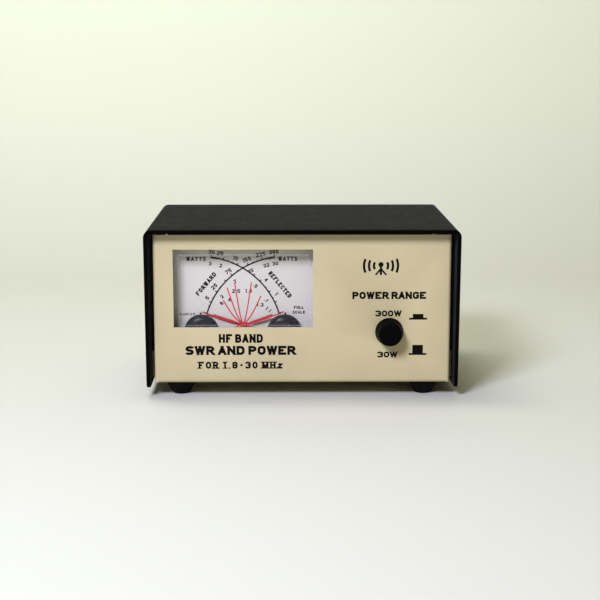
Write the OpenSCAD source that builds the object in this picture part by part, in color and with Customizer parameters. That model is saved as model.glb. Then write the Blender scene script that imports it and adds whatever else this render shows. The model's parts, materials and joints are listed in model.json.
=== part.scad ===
// Cross-needle SWR and power meter for amateur radio, as an assembly of separate pieces.
// X runs to the right of the front panel, Y to the back, Z up, and the feet stand on Z = 0.

/* [Case] */
// Width of the cover across its two sides
case_w = 165; // [155:1:185]
// Depth of the cover along its top
case_d = 114; // [112:1:130]
// Height from the table to the top of the cover
case_h = 90; // [89:1:96]
// Thickness of the cover sheet
cover_t = 2; // [1.5:0.1:2.2]
// Outer bend radius of the cover's two top edges
cover_bend = 4; // [3:0.5:6]
// How far the cover's front and rear edges lean in from top to bottom
cover_lean = 3; // [1:0.5:3.5]
// Height of the cover's lower side edges above the table
cover_bottom = 5; // [4:0.5:7]
// Thickness of the chassis sheet
sheet_t = 1.2; // [1:0.1:1.4]
// Depth of the front and rear panels behind the cover's top edges
panel_recess = 6; // [5:0.5:7]
// Height of the rubber feet, which is also the underside of the chassis
foot_h = 7.5; // [7:0.5:9]

/* [Meter] */
// Middle of the meter window across the panel
window_x = -31.1; // [-33:0.1:-29]
// Width of the window cut-out
window_w = 73.4; // [70:0.1:75]
// Height of the window cut-out
window_h = 41.5; // [40:0.1:42]
// Lower edge of the window cut-out
window_z = 37.5; // [37:0.1:38]
// Depth of the dial's face behind the panel's face
dial_depth = 9.5; // [9:0.1:10.5]
// Middle between the two needle pivots
dial_x = -31.5; // [-32:0.1:-31]
// Half of the distance between the two needle pivots
pivot_half = 22.1; // [21:0.1:23]
// Height of the needle pivots
pivot_z = 30.6; // [30:0.1:31]
// Length of a needle from its pivot
needle_len = 44; // [40:0.5:44]
// Slope of a resting needle above the horizontal, in degrees
needle_rest = 17; // [15:0.5:20]
// Swing of a needle from rest to full scale, in degrees
needle_swing = 66; // [60:1:68]

/* [Range button] */
// Middle of the button across the panel
button_x = 46; // [44:0.5:50]
// Height of the button's middle
button_z = 35; // [33:0.5:38]
// Radius of the button where it enters the panel
button_r = 7.15; // [6:0.05:7.3]
// Reach of the button in front of the panel
button_out = 9; // [7.5:0.5:10]
// Travel of the button
button_travel = 4; // [3:0.5:4]

/* [Connectors] */
// Distance of each coaxial connector from the middle of the rear panel
connector_x = 22; // [20:0.5:24]
// Height of the coaxial connectors
connector_z = 50; // [48:0.5:54]
// Reach of the coaxial connectors behind the rear panel
connector_out = 17.8; // [16:0.1:20]
// Outer radius of the coaxial connector's threaded barrel, 5/8 inch across
barrel_r = 7.94; // [7.9:0.01:7.96]
// Radius of the socket in the centre contact
contact_bore = 2; // [1.95:0.01:2.05]
// Distance of the power jack from the middle of the rear panel
jack_x = 58; // [54:1:60]

/* [Hidden] */

$fn = 48;
ARC_STEPS = 6;
EPS = 0.5;
GAP = 0.05;

// Places along the depth: the origin is in the middle between the button's face and the connectors' ends.
front_y = button_out - panel_recess - (case_d + button_out + connector_out - 2 * panel_recess) / 2;
rear_y = front_y + case_d;
panel_y = front_y + panel_recess;
panel_in = panel_y + sheet_t;
back_y = rear_y - panel_recess;
back_in = back_y - sheet_t;

// Chassis
panel_gap = 2.2;
panel_w = case_w - 2 * cover_t - 2 * panel_gap;
panel_top = case_h - cover_t - 1.2;
panel_bend = 1.75;
return_depth = 10;
floor_z = foot_h;
floor_in = floor_z + sheet_t;
side_flange_top = 22;
side_flange_gap = 2;
cover_fit = 0.2;
side_screw_y = [front_y + 22, rear_y - 22];
side_screw_z = 15;
side_screw_r = 1.5;
foot_x = 65;
foot_y = [front_y + 16, rear_y - 16];
foot_top_r = 8.4;
foot_tip_r = 4.4;
foot_land = 1;
foot_recess_r = 3.2;
foot_recess = 4.5;
foot_screw_r = 1.5;

// Meter
lens_t = 1.8;
lens_y = panel_in + GAP;
body_y = lens_y + lens_t;
meter_w = 82;
meter_z0 = 18;
meter_z1 = 84;
meter_depth = 36;
meter_wall = 1.6;
meter_back = panel_y + meter_depth;
ear_w = 4.3;
ear_h = 8;
ear_t = 2.5;
ear_z = [26, 76];
stud_r = 1.25;
stud_len = 8;
dial_y = panel_y + dial_depth;
dial_t = 0.8;
dial_w = 78;
dial_top = 82;
dial_bottom = pivot_z - 4;
dial_hole_r = 6.5;
dial_screw_r = 0.8;
pivot_hole_r = 2;
pillar_r = 2;
pillar_x = 36.6;
pillar_z = 32;
cap_r = 9.3;
cap_z = 3.3;
cap_cut = -1.4;
cap_leg_x = 7.6;
cap_open_r = 5.4;
cap_rim = -2.6;
cap_face = -5.9;
terminal_x = [-20, 0, 20];
terminal_z = 52;
terminal_r = 1.5;
lamp_z = 70;
lamp_r = 2.5;
lamp_socket_r = 5;

// Movement, measured from the dial's face along Y
yoke_r = 11;
yoke_wall = 2;
yoke_y = [4, 16];
core_r = 6;
core_y = [5, 15];
core_post_r = 1.2;
core_post_z = 4.3;
coil_in = 6.5;
coil_out = 7.9;
coil_y = [3.2, 16.8];
coil_bar = 1.4;
coil_half = 1.5;
spindle_r = 0.4;
spindle_front = -3;
spindle_back = 19.5;
front_bridge_y = [-3.6, -2.8];
rear_bridge_y = [19.6, 20.6];
bridge_half = 2;
bridge_reach = 10.9;
bridge_leg = 1.8;
jewel_r = 1.2;
jewel_front = [-5.2, -2.7];
jewel_rear = [19.2, 23];
jewel_cup_r = 0.6;
jewel_cup = 0.6;
lever_y = [-4.6, -4];
lever_ring = [1.7, 3];
lever_arm = 7.6;
lever_arm_half = 0.7;
lever_angle = 70;
lever_leg_angle = 225;
lever_leg_r = 5.2;
hub_r = 1.7;
hub_t = 1;
needle_t = 0.3;
needle_root = 0.5;
needle_neck = 0.25;
needle_tip = 0.16;
needle_tail = 5;
needle_vane = [26, 29.5, 36, 39];
needle_vane_half = 0.62;
forward_plane = -1.2;
reflected_plane = -2.2;
weight_r = 0.9;
hairspring_strip = 0.14;
hairspring_w = 0.5;
hairspring_y = [1.4, 17.6];
hairspring_r = [0.6, 4.6, 2.8];

// Range switch
button_inside = 4;
button_face_r = 5.9;
button_hole_r = 7.5;
plunger = 4;
switch_y = panel_y + 14;
bracket_t = 1.2;
bracket_w = 24;
bracket_top = 44;
bracket_foot = 14;
switch_w = 14;
switch_h = 13;
switch_len = 24;
switch_wall = 3;
carriage_w = 7.4;
carriage_h = 6.4;
carriage_len = 12;
carriage_start = 6;
clip_y = [8, 13];
clip_size = [5.2, 3];
switch_pin_x = [-2.5, 2.5];
switch_pin_y = [8, 12, 16];
switch_pin_r = 0.5;
switch_pin_out = 3.5;
switch_flange_t = 2;
switch_screw_x = 8.9;
spring_r = 3.6;
spring_wire = 0.3;
spring_turns = 5;
small_screw_r = 1.25;

// Connectors
flange = 25.4;
flange_t = 1.6;
flange_pitch = 18.26;
flange_screw_r = 1.5;
connector_hole_r = 8;
barrel_in = 6;
insulator_r = 5.95;
insulator_face = 2.5;
solder_end = 12.5;
solder_r = 1.8;
contact_r = 2.8;
contact_depth = 12;
barrel_tail = 3;
insulator_tail = 4;
jack_z = 50;
jack_hole_r = 4.1;
jack_thread_r = 4;
jack_flange_r = 5.5;
jack_flange_t = 2.5;
jack_len = 12;
jack_bore_r = 2.8;
jack_floor = 4;
jack_pin_r = 1.05;
jack_pin_root_r = 1.5;
jack_pin_tail = 3;
jack_pin_tip = 1;

// Coupler
line_y = back_in - solder_end - 0.1;
line_r = 1.3;
toroid_r = [6.4, 10.1];
toroid_w = 8.2;
sleeve_r = 4.4;
sleeve_len = 18;
loop_r = 3.2;
loop_x = 5.9;
winding_turns = 16;
winding_sweep = 300;
winding_wire = 0.4;
board_w = 96;
board_d = 34;
board_t = 1.6;
board_to_back = 8;
board_y = back_in - board_to_back - board_d;
standoff_h = 8;
board_z = floor_in + standoff_h;
board_top = board_z + board_t;
board_hole_x = board_w / 2 - 4;
board_hole_y = [board_y + 4, board_y + board_d - 4];
trimmer_x = 36;
trimmer_y = board_y + 22;
trimmer_size = 7;
trimmer_h = 4.5;
rotor_r = 2.6;
rotor_h = 1.6;
part_lead_r = 0.3;
part_lead_reach = 2.5;
resistor_x = [-26, -10, 6, 18];
resistor_row = 22;
resistor_size = [6.5, 1.2];
diode_x = [-22, 8];
diode_row = 16;
diode_size = [4, 0.95];
capacitor_x = [-34, -12, 0, 20];
capacitor_row = 8;
capacitor_r = 3;
capacitor_pitch = 2.6;
wire_r = 0.7;
wire_pitch = 8;
wire_landing = 3;
WIRE_SIDES = 8;

// Shared shapes

function arc_points(x, y, r, from, to) =
  [for (i = [0 : ARC_STEPS]) let (a = from + (to - from) * i / ARC_STEPS)
    [x + r * cos(a), y + r * sin(a)]];

function unit(v) = v / norm(v);

function tangents(p) =
  [for (i = [0 : len(p) - 1]) unit(p[min(i + 1, len(p) - 1)] - p[max(i - 1, 0)])];

// The side vector of each ring, carried along the route without twisting.
function carried(t, side, i = 0) =
  i == len(t) ? [] :
  let (s = unit(side - (side * t[i]) * t[i])) concat([s], carried(t, s, i + 1));

function blend_point(a, b, c, d, s) =
  0.5 * (2 * b + (c - a) * s + (2 * a - 5 * b + 4 * c - d) * s * s
    + (3 * b - a - 3 * c + d) * s * s * s);

function smooth_route(p, steps) = let (last = len(p) - 1)
  [for (i = [0 : last - 1]) for (s = [0 : steps - 1])
    blend_point(p[max(i - 1, 0)], p[i], p[i + 1], p[min(i + 2, last)], s / steps), p[last]];

module tube(route, side, r, sides = WIRE_SIDES) {
  t = tangents(route);
  s = carried(t, side);
  last = len(route) - 1;
  points = [for (i = [0 : last]) for (k = [0 : sides - 1]) let (a = 360 * k / sides)
    route[i] + r * (cos(a) * s[i] + sin(a) * cross(t[i], s[i]))];
  walls = [for (i = [0 : last - 1]) for (k = [0 : sides - 1])
    let (a = i * sides + k, b = i * sides + (k + 1) % sides)
    each [[a, a + sides, b], [b, a + sides, b + sides]]];
  start = [[for (k = [0 : sides - 1]) k]];
  end = [[for (k = [sides - 1 : -1 : 0]) last * sides + k]];
  polyhedron(points, concat(walls, start, end), convexity = 8);
}

module along_y(y, length) {
  translate([0, y + length, 0]) rotate([90, 0, 0]) linear_extrude(length) children();
}

module along_x(x, length) {
  translate([x, 0, 0]) rotate([90, 0, 90]) linear_extrude(length) children();
}

module rod_y(x, y, z, r, length) {
  translate([x, y, z]) rotate([-90, 0, 0]) cylinder(r = r, h = length);
}

module turned_y(x, y, z, profile) {
  translate([x, y, z]) rotate([-90, 0, 0]) rotate_extrude() polygon(profile);
}

module box_between(low, high) {
  translate(low) cube(high - low);
}

// A slotted pan-head screw with its head above Z = 0 and its shank below.
module pan_screw(r, length, head_r, head_h) {
  difference() {
    union() {
      translate([0, 0, -length]) cylinder(r = r, h = length + head_h / 2);
      cylinder(r1 = head_r, r2 = head_r * 0.8, h = head_h);
    }
    translate([-head_r, -head_h / 6, head_h / 2]) cube([2 * head_r, head_h / 3, head_h]);
  }
}

module nut(r, bore, height) {
  difference() {
    cylinder(r = r, h = height, $fn = 6);
    translate([0, 0, -EPS]) cylinder(r = bore, h = height + 2 * EPS);
  }
}

// Case

module cover_section() {
  w = case_w / 2;
  in = w - cover_t;
  bend_in = cover_bend - cover_t;
  polygon(concat(
    [[-w, 0]],
    arc_points(-w + cover_bend, case_h - cover_bend, cover_bend, 180, 90),
    arc_points(w - cover_bend, case_h - cover_bend, cover_bend, 90, 0),
    [[w, 0], [in, 0]],
    arc_points(w - cover_bend, case_h - cover_bend, bend_in, 0, 90),
    arc_points(-w + cover_bend, case_h - cover_bend, bend_in, 90, 180),
    [[-in, 0]]));
}

module cover_side() {
  corner = 3.5;
  front = front_y + cover_lean;
  rear = rear_y - cover_lean;
  polygon(concat(
    [[front_y, case_h + EPS], [front_y, case_h]],
    arc_points(front + corner, cover_bottom + corner, corner, 180, 270),
    arc_points(rear - corner, cover_bottom + corner, corner, 270, 360),
    [[rear_y, case_h], [rear_y, case_h + EPS]]));
}

module cover() {
  color("#3a3c39") difference() {
    intersection() {
      along_y(front_y, case_d) cover_section();
      along_x(-case_w, 2 * case_w) cover_side();
    }
    for (y = side_screw_y, side = [-1, 1])
      translate([side * (case_w / 2 - cover_t - EPS), y, side_screw_z]) rotate([0, side * 90, 0])
        cylinder(r = side_screw_r + 0.2, h = cover_t + 2 * EPS);
  }
}

module cover_screws() {
  for (y = side_screw_y, side = [-1, 1])
    color("#1c1d1c") translate([side * (case_w / 2 + GAP), y, side_screw_z]) rotate([0, side * 90, 0])
      pan_screw(side_screw_r, 7, 3, 1.8);
}

// The front panel, floor and rear panel are one bent sheet.
module chassis_profile() {
  r = panel_bend;
  inner = panel_bend - sheet_t;
  polygon(concat(
    [[panel_y, panel_top]],
    arc_points(panel_y + r, floor_z + r, r, 180, 270),
    arc_points(back_y - r, floor_z + r, r, 270, 360),
    [[back_y, panel_top], [back_in, panel_top]],
    arc_points(back_y - r, floor_z + r, inner, 360, 270),
    arc_points(panel_y + r, floor_z + r, inner, 270, 180),
    [[panel_in, panel_top]]));
}

// Seen from above: a panel's vertical edges are bent back into side returns.
module panel_section() {
  w = panel_w / 2;
  r = panel_bend;
  inner = panel_bend - sheet_t;
  polygon(concat(
    [[-w, return_depth]],
    arc_points(-w + r, r, r, 180, 270),
    arc_points(w - r, r, r, 270, 360),
    [[w, return_depth], [w - sheet_t, return_depth]],
    arc_points(w - r, r, inner, 360, 270),
    arc_points(-w + r, r, inner, 270, 180),
    [[-w + sheet_t, return_depth]]));
}

module side_flange() {
  out = case_w / 2 - cover_t - cover_fit;
  r = panel_bend;
  along_y(panel_y + return_depth + side_flange_gap,
    back_y - panel_y - 2 * return_depth - 2 * side_flange_gap)
    polygon(concat(
      [[panel_w / 2 - 2 * r, floor_z]],
      arc_points(out - r, floor_z + r, r, 270, 360),
      [[out, side_flange_top], [out - sheet_t, side_flange_top]],
      arc_points(out - r, floor_z + r, r - sheet_t, 360, 270),
      [[panel_w / 2 - 2 * r, floor_in]]));
}

module chassis_holes() {
  box_between([window_x - window_w / 2, panel_y - EPS, window_z],
    [window_x + window_w / 2, panel_in + EPS, window_z + window_h]);
  rod_y(button_x, panel_y - EPS, button_z, button_hole_r, sheet_t + 2 * EPS);
  for (side = [-1, 1]) {
    rod_y(side * connector_x, back_in - EPS, connector_z, connector_hole_r, sheet_t + 2 * EPS);
    for (dx = [-1, 1], dz = [-1, 1])
      rod_y(side * connector_x + dx * flange_pitch / 2, back_in - EPS, connector_z + dz * flange_pitch / 2,
        flange_screw_r + 0.1, sheet_t + 2 * EPS);
  }
  rod_y(jack_x, back_in - EPS, jack_z, jack_hole_r, sheet_t + 2 * EPS);
  for (x = [-foot_x, foot_x], y = foot_y)
    translate([x, y, floor_z - EPS]) cylinder(r = foot_screw_r + GAP, h = sheet_t + 2 * EPS);
  for (side = [-1, 1], y = side_screw_y)
    translate([side * (case_w / 2 - cover_t), y, side_screw_z]) rotate([0, -side * 90, 0])
      cylinder(r = side_screw_r + GAP, h = cover_fit + sheet_t + EPS);
  for (side = [-1, 1])
    translate([button_x + side * switch_screw_x, switch_y + bracket_foot / 2 + bracket_t, floor_z - EPS])
      cylinder(r = small_screw_r + GAP, h = sheet_t + 2 * EPS);
}

module chassis() {
  color("#d2c6a0") difference() {
    union() {
      along_x(-panel_w / 2 + panel_bend, panel_w - 2 * panel_bend) chassis_profile();
      translate([0, panel_y, floor_z + panel_bend])
        linear_extrude(panel_top - floor_z - panel_bend) panel_section();
      translate([0, back_y, floor_z + panel_bend]) mirror([0, 1, 0])
        linear_extrude(panel_top - floor_z - panel_bend) panel_section();
      side_flange();
      mirror([1, 0, 0]) side_flange();
    }
    chassis_holes();
  }
}

module foot() {
  rotate_extrude() polygon([[foot_screw_r + 0.2, foot_h], [foot_top_r, foot_h],
    [foot_top_r, foot_h - foot_land], [foot_tip_r + 0.2, 0.4], [foot_tip_r - 0.2, 0],
    [foot_recess_r, 0], [foot_recess_r, foot_recess], [foot_screw_r + 0.2, foot_recess]]);
}

module feet() {
  for (x = [-foot_x, foot_x], y = foot_y)
    color("#0e0f0f") translate([x, y, 0]) foot();
}

module foot_screws() {
  for (x = [-foot_x, foot_x], y = foot_y)
    color("#8d8f90") translate([x, y, foot_recess - GAP]) mirror([0, 0, 1])
      pan_screw(foot_screw_r, foot_h - foot_recess + 5, 2.8, 1.8);
}

// Meter housing

module meter_case() {
  low = [window_x - meter_w / 2, body_y, meter_z0];
  high = [window_x + meter_w / 2, meter_back, meter_z1];
  wall = [meter_wall, 0, meter_wall];
  color("#2b2b2a") difference() {
    union() {
      difference() {
        union() {
          box_between(low, high);
          for (z = ear_z, side = [-1, 1]) translate([window_x + side * meter_w / 2, body_y, z - ear_h / 2])
            mirror([side < 0 ? 1 : 0, 0, 0]) translate([-EPS, 0, 0]) cube([ear_w + EPS, ear_t, ear_h]);
        }
        box_between(low + wall - [0, EPS, 0], high - wall - [0, meter_wall, 0]);
      }
      for (side = [-1, 1])
        rod_y(window_x + side * pillar_x, dial_y + dial_t + GAP, pillar_z, pillar_r,
          meter_back - dial_y - dial_t - EPS);
    }
    for (z = ear_z, side = [-1, 1])
      rod_y(window_x + side * (meter_w + ear_w) / 2, body_y - EPS, z, stud_r + 0.1, ear_t + 2 * EPS);
    for (side = [-1, 1])
      rod_y(window_x + side * pillar_x, dial_y, pillar_z, dial_screw_r + GAP, 8);
    for (x = terminal_x)
      rod_y(window_x + x, meter_back - 2 * meter_wall, terminal_z, terminal_r + GAP, 4 * meter_wall);
    rod_y(window_x, meter_back - 2 * meter_wall, lamp_z, lamp_socket_r + GAP, 4 * meter_wall);
    for (side = [-1, 1])
      rod_y(dial_x + side * pivot_half, meter_back - 2 * meter_wall, pivot_z, pivot_hole_r, 4 * meter_wall);
  }
}

module meter_window() {
  color("#dfe6e4", 0.3) difference() {
    union() {
      box_between([window_x - meter_w / 2, lens_y, meter_z0],
        [window_x + meter_w / 2, body_y - GAP, meter_z1]);
      for (z = ear_z, side = [-1, 1]) translate([window_x + side * meter_w / 2, lens_y, z - ear_h / 2])
        mirror([side < 0 ? 1 : 0, 0, 0]) translate([-EPS, 0, 0]) cube([ear_w + EPS, lens_t - GAP, ear_h]);
    }
    for (z = ear_z, side = [-1, 1])
      rod_y(window_x + side * (meter_w + ear_w) / 2, lens_y - EPS, z, stud_r + 0.1, lens_t + 2 * EPS);
  }
}

module dial_plate() {
  color("#d0ced1") difference() {
    box_between([window_x - dial_w / 2, dial_y, dial_bottom],
      [window_x + dial_w / 2, dial_y + dial_t, dial_top]);
    for (side = [-1, 1])
      rod_y(dial_x + side * pivot_half, dial_y - EPS, pivot_z, dial_hole_r, dial_t + 2 * EPS);
    for (side = [-1, 1])
      rod_y(window_x + side * pillar_x, dial_y - EPS, pillar_z, dial_screw_r + 0.1, dial_t + 2 * EPS);
  }
}

module dial_screws() {
  for (side = [-1, 1])
    color("#3b3b3a") translate([window_x + side * pillar_x, dial_y - GAP, pillar_z]) rotate([90, 0, 0])
      pan_screw(dial_screw_r, 5, 2 * dial_screw_r, 1);
}

module panel_studs() {
  for (z = ear_z, side = [-1, 1])
    color("#b6b8b9") rod_y(window_x + side * (meter_w + ear_w) / 2, panel_in, z, stud_r, stud_len);
}

module meter_nuts() {
  for (z = ear_z, side = [-1, 1])
    color("#b6b8b9") translate([window_x + side * (meter_w + ear_w) / 2, body_y + ear_t + GAP, z])
      rotate([-90, 0, 0]) nut(2.1, stud_r + GAP, 1.8);
}

module meter_terminals() {
  for (x = terminal_x)
    color("#c8a24a") translate([window_x + x, meter_back + GAP, terminal_z]) rotate([-90, 0, 0])
      union() {
        translate([0, 0, -meter_wall - 3]) cylinder(r = terminal_r, h = meter_wall + 9);
        cylinder(r = 3, h = 1.6, $fn = 6);
        translate([-1.2, 0, 2.4]) cube([2.4, 7, 0.6]);
      }
}

module lamp_holder() {
  depth = 12;
  color("#1f1f1f") turned_y(window_x, meter_back - 6, lamp_z, [[2.6, 0], [lamp_socket_r, 0],
    [lamp_socket_r, 6 + GAP], [lamp_socket_r + 1.6, 6 + GAP], [lamp_socket_r + 1.6, 8], [4, 8], [4, depth],
    [0, depth], [0, 7], [2.6, 7]]);
}

module lamp() {
  color("#f4e9c6", 0.6) turned_y(window_x, meter_back - 14, lamp_z, [[0, 0], [1.6, 0.5], [lamp_r, 2],
    [lamp_r, 14.9], [0, 14.9]]);
}

// Movements: modelled about a pivot at the origin, with the dial's face at Y = 0 and the needle to -X.

module at_forward() {
  translate([dial_x + pivot_half, dial_y, pivot_z]) children();
}

module at_reflected() {
  translate([dial_x - pivot_half, dial_y, pivot_z]) mirror([1, 0, 0]) children();
}

module yoke() {
  difference() {
    rod_y(0, yoke_y[0], 0, yoke_r, yoke_y[1] - yoke_y[0]);
    rod_y(0, yoke_y[0] - EPS, 0, yoke_r - yoke_wall, yoke_y[1] - yoke_y[0] + 2 * EPS);
  }
}

module movement_yokes() {
  color("#77797b") at_forward() yoke();
  color("#77797b") at_reflected() yoke();
}

module magnet_core() {
  rod_y(0, core_y[0], 0, core_r, core_y[1] - core_y[0]);
  for (z = [-core_post_z, core_post_z])
    rod_y(0, core_y[1] - EPS, z, core_post_r, rear_bridge_y[0] - core_y[1] + EPS - GAP);
}

module magnet_cores() {
  color("#55585b") at_forward() union() magnet_core();
  color("#55585b") at_reflected() union() magnet_core();
}

module front_bridge() {
  difference() {
    union() {
      box_between([-bridge_half, front_bridge_y[0], -bridge_reach],
        [bridge_half, front_bridge_y[1], bridge_half]);
      box_between([-bridge_half, front_bridge_y[0], -bridge_reach],
        [bridge_half, yoke_y[0] - GAP, -bridge_reach + bridge_leg]);
    }
    rod_y(0, front_bridge_y[0] - EPS, 0, jewel_r + GAP, 2);
  }
}

module rear_bridge() {
  difference() {
    union() {
      box_between([-bridge_half, rear_bridge_y[0], -bridge_reach],
        [bridge_half, rear_bridge_y[1], bridge_reach]);
      for (z = [-bridge_reach, bridge_reach - bridge_leg])
        box_between([-bridge_half, yoke_y[1] + GAP, z], [bridge_half, rear_bridge_y[1], z + bridge_leg]);
    }
    rod_y(0, rear_bridge_y[0] - EPS, 0, jewel_r + GAP, 2);
  }
}

module movement_bridges() {
  color("#c39a45") at_forward() front_bridge();
  color("#c39a45") at_forward() rear_bridge();
  color("#c39a45") at_reflected() front_bridge();
  color("#c39a45") at_reflected() rear_bridge();
}

module jewel_screw(span, cup_y, slot_y) {
  difference() {
    rod_y(0, span[0], 0, jewel_r, span[1] - span[0]);
    rod_y(0, cup_y - jewel_cup, 0, jewel_cup_r, 2 * jewel_cup);
    box_between([-jewel_r, slot_y - 0.4, -0.2], [jewel_r, slot_y + 0.4, 0.2]);
  }
}

module jewel_screws() {
  color("#d9b765") at_forward() jewel_screw(jewel_front, jewel_front[1], jewel_front[0]);
  color("#d9b765") at_forward() jewel_screw(jewel_rear, jewel_rear[0], jewel_rear[1]);
  color("#d9b765") at_reflected() jewel_screw(jewel_front, jewel_front[1], jewel_front[0]);
  color("#d9b765") at_reflected() jewel_screw(jewel_rear, jewel_rear[0], jewel_rear[1]);
}

// One edge of the needle from its tail to its tip, with a wider vane before the tip.
function needle_edge(side) =
  [[needle_tail, side * needle_root], [0, side * needle_root], [-needle_vane[0], side * needle_neck],
    [-needle_vane[1], side * needle_vane_half], [-needle_vane[2], side * needle_vane_half],
    [-needle_vane[3], side * needle_neck], [-needle_len, side * needle_tip]];

function backwards(list) = [for (i = [len(list) - 1 : -1 : 0]) list[i]];

module needle(plane) {
  rotate([0, needle_rest, 0]) difference() {
    union() {
      along_y(plane, needle_t) polygon(concat(needle_edge(1), backwards(needle_edge(-1))));
      rod_y(0, plane - (hub_t - needle_t) / 2, 0, hub_r, hub_t);
      rod_y(needle_tail - weight_r, plane - (hub_t - needle_t) / 2, 0, weight_r, hub_t);
    }
    rod_y(0, plane - hub_t, 0, spindle_r + 0.02, 3 * hub_t);
  }
}

module forward_needle() {
  color("#b8262b") at_forward() needle(forward_plane);
}

module reflected_needle() {
  color("#b8262b") at_reflected() needle(reflected_plane);
}

// The coil stands across the gap at half swing, so it starts half a swing behind.
module coil() {
  rotate([0, -needle_swing / 2, 0]) {
    difference() {
      box_between([-coil_out, coil_y[0], -coil_half], [coil_out, coil_y[1], coil_half]);
      box_between([-coil_in, coil_y[0] + coil_bar, -coil_half - EPS],
        [coil_in, coil_y[1] - coil_bar, coil_half + EPS]);
    }
    rod_y(0, spindle_front, 0, spindle_r, coil_y[0] - spindle_front + coil_bar / 2);
    rod_y(0, coil_y[1] - coil_bar / 2, 0, spindle_r, spindle_back - coil_y[1] + coil_bar / 2);
  }
}

module forward_coil() {
  color("#9a5a2c") at_forward() union() coil();
}

module reflected_coil() {
  color("#9a5a2c") at_reflected() union() coil();
}

module hairspring(y, r0, r1, turns) {
  steps = turns * 18;
  inner = [for (i = [0 : steps]) let (a = 360 * turns * i / steps, r = r0 + (r1 - r0) * i / steps)
    [r * cos(a), r * sin(a)]];
  outer = [for (p = inner) p * (norm(p) + hairspring_strip) / norm(p)];
  along_y(y, hairspring_w) polygon(concat(inner, backwards(outer)));
}

module hairspring_front() {
  hairspring(hairspring_y[0], hairspring_r[0], hairspring_r[1], 4);
}

module hairspring_rear() {
  hairspring(hairspring_y[1], hairspring_r[0], hairspring_r[2], 3);
}

module forward_hairsprings() {
  color("#caa35a") at_forward() hairspring_front();
  color("#caa35a") at_forward() hairspring_rear();
}

module reflected_hairsprings() {
  color("#caa35a") at_reflected() hairspring_front();
  color("#caa35a") at_reflected() hairspring_rear();
}

module lever_bar(angle, length, half) {
  rotate(angle) translate([0, -half]) square([length, 2 * half]);
}

module zero_lever() {
  along_y(lever_y[0], lever_y[1] - lever_y[0]) difference() {
    union() {
      circle(r = lever_ring[1]);
      lever_bar(lever_angle, lever_arm, lever_arm_half);
      lever_bar(lever_leg_angle, lever_leg_r + 0.8, 0.6);
    }
    circle(r = lever_ring[0]);
  }
}

// The leg holds the outer end of the front hairspring, behind the dial.
module lever_leg() {
  rotate([0, -lever_leg_angle, 0])
    box_between([lever_leg_r - 0.4, lever_y[0] + 0.3, -0.4], [lever_leg_r + 0.4, 1.9, 0.4]);
}

module forward_zero_lever() {
  color("#d8b25a") at_forward() union() {
    zero_lever();
    lever_leg();
  }
}

module reflected_zero_lever() {
  color("#d8b25a") at_reflected() union() {
    zero_lever();
    lever_leg();
  }
}

// A low black hood over the pivot, open at its middle and cut off below.
module pivot_cap() {
  wall = 0.8;
  intersection() {
    union() {
      turned_y(0, 0, cap_z, [[cap_r, cap_rim], [cap_r - 0.2, cap_rim - 1], [cap_r - 1.1, cap_rim - 2.2],
        [cap_r - 2.5, cap_rim - 3], [cap_open_r, cap_face], [cap_open_r, cap_face + wall],
        [cap_r - 2.9, cap_rim - 2.2], [cap_r - 1.8, cap_rim - 1.6], [cap_r - 1, cap_rim - 0.7],
        [cap_r - wall, cap_rim]]);
      for (x = [-cap_leg_x, cap_leg_x])
        box_between([x - 0.8, cap_rim - 0.4, cap_cut], [x + 0.8, -GAP, cap_cut + 2]);
    }
    box_between([-2 * cap_r, cap_face - 1, cap_cut], [2 * cap_r, 1, 2 * cap_r]);
  }
}

module forward_pivot_cap() {
  color("#1b1a1a") at_forward() pivot_cap();
}

module reflected_pivot_cap() {
  color("#1b1a1a") at_reflected() pivot_cap();
}

// Range switch

module range_button() {
  reach = button_out + button_inside;
  color("#0d0e0c") difference() {
    turned_y(button_x, panel_y - button_out, button_z, concat(
      [[0, 0.3], [button_face_r - 1.5, 0.1]],
      [for (a = arc_points(button_face_r - 1.2, 1.3, 1.2, 270, 360)) a],
      [[button_r, button_out - 0.6], [button_r, reach], [0, reach]]));
    box_between([button_x - plunger / 2 - GAP, panel_y - 2, button_z - plunger / 2 - GAP],
      [button_x + plunger / 2 + GAP, panel_y + button_inside + EPS, button_z + plunger / 2 + GAP]);
  }
}

module switch_plunger() {
  carriage_y = switch_y + carriage_start;
  color("#e9e7df") union() {
    box_between([button_x - plunger / 2, panel_y - 2 + GAP, button_z - plunger / 2],
      [button_x + plunger / 2, carriage_y + 1, button_z + plunger / 2]);
    box_between([button_x - carriage_w / 2, carriage_y, button_z - carriage_h / 2],
      [button_x + carriage_w / 2, carriage_y + carriage_len, button_z + carriage_h / 2]);
  }
}

module switch_clips() {
  for (y = clip_y)
    color("#c9a354") box_between([button_x - clip_size[0] / 2, switch_y + y,
      button_z - carriage_h / 2 - 0.5],
      [button_x + clip_size[0] / 2, switch_y + y + clip_size[1], button_z - carriage_h / 2 - GAP]);
}

module switch_spring() {
  y0 = panel_y + button_inside + spring_wire + GAP;
  y1 = switch_y - bracket_t - spring_wire - GAP;
  steps = 12 * spring_turns;
  color("#a7abad") translate([button_x, 0, button_z])
    tube([for (i = [0 : steps]) [spring_r * cos(30 * i), y0 + (y1 - y0) * i / steps,
      spring_r * sin(30 * i)]],
      [1, 0, 0], spring_wire, 6);
}

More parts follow.
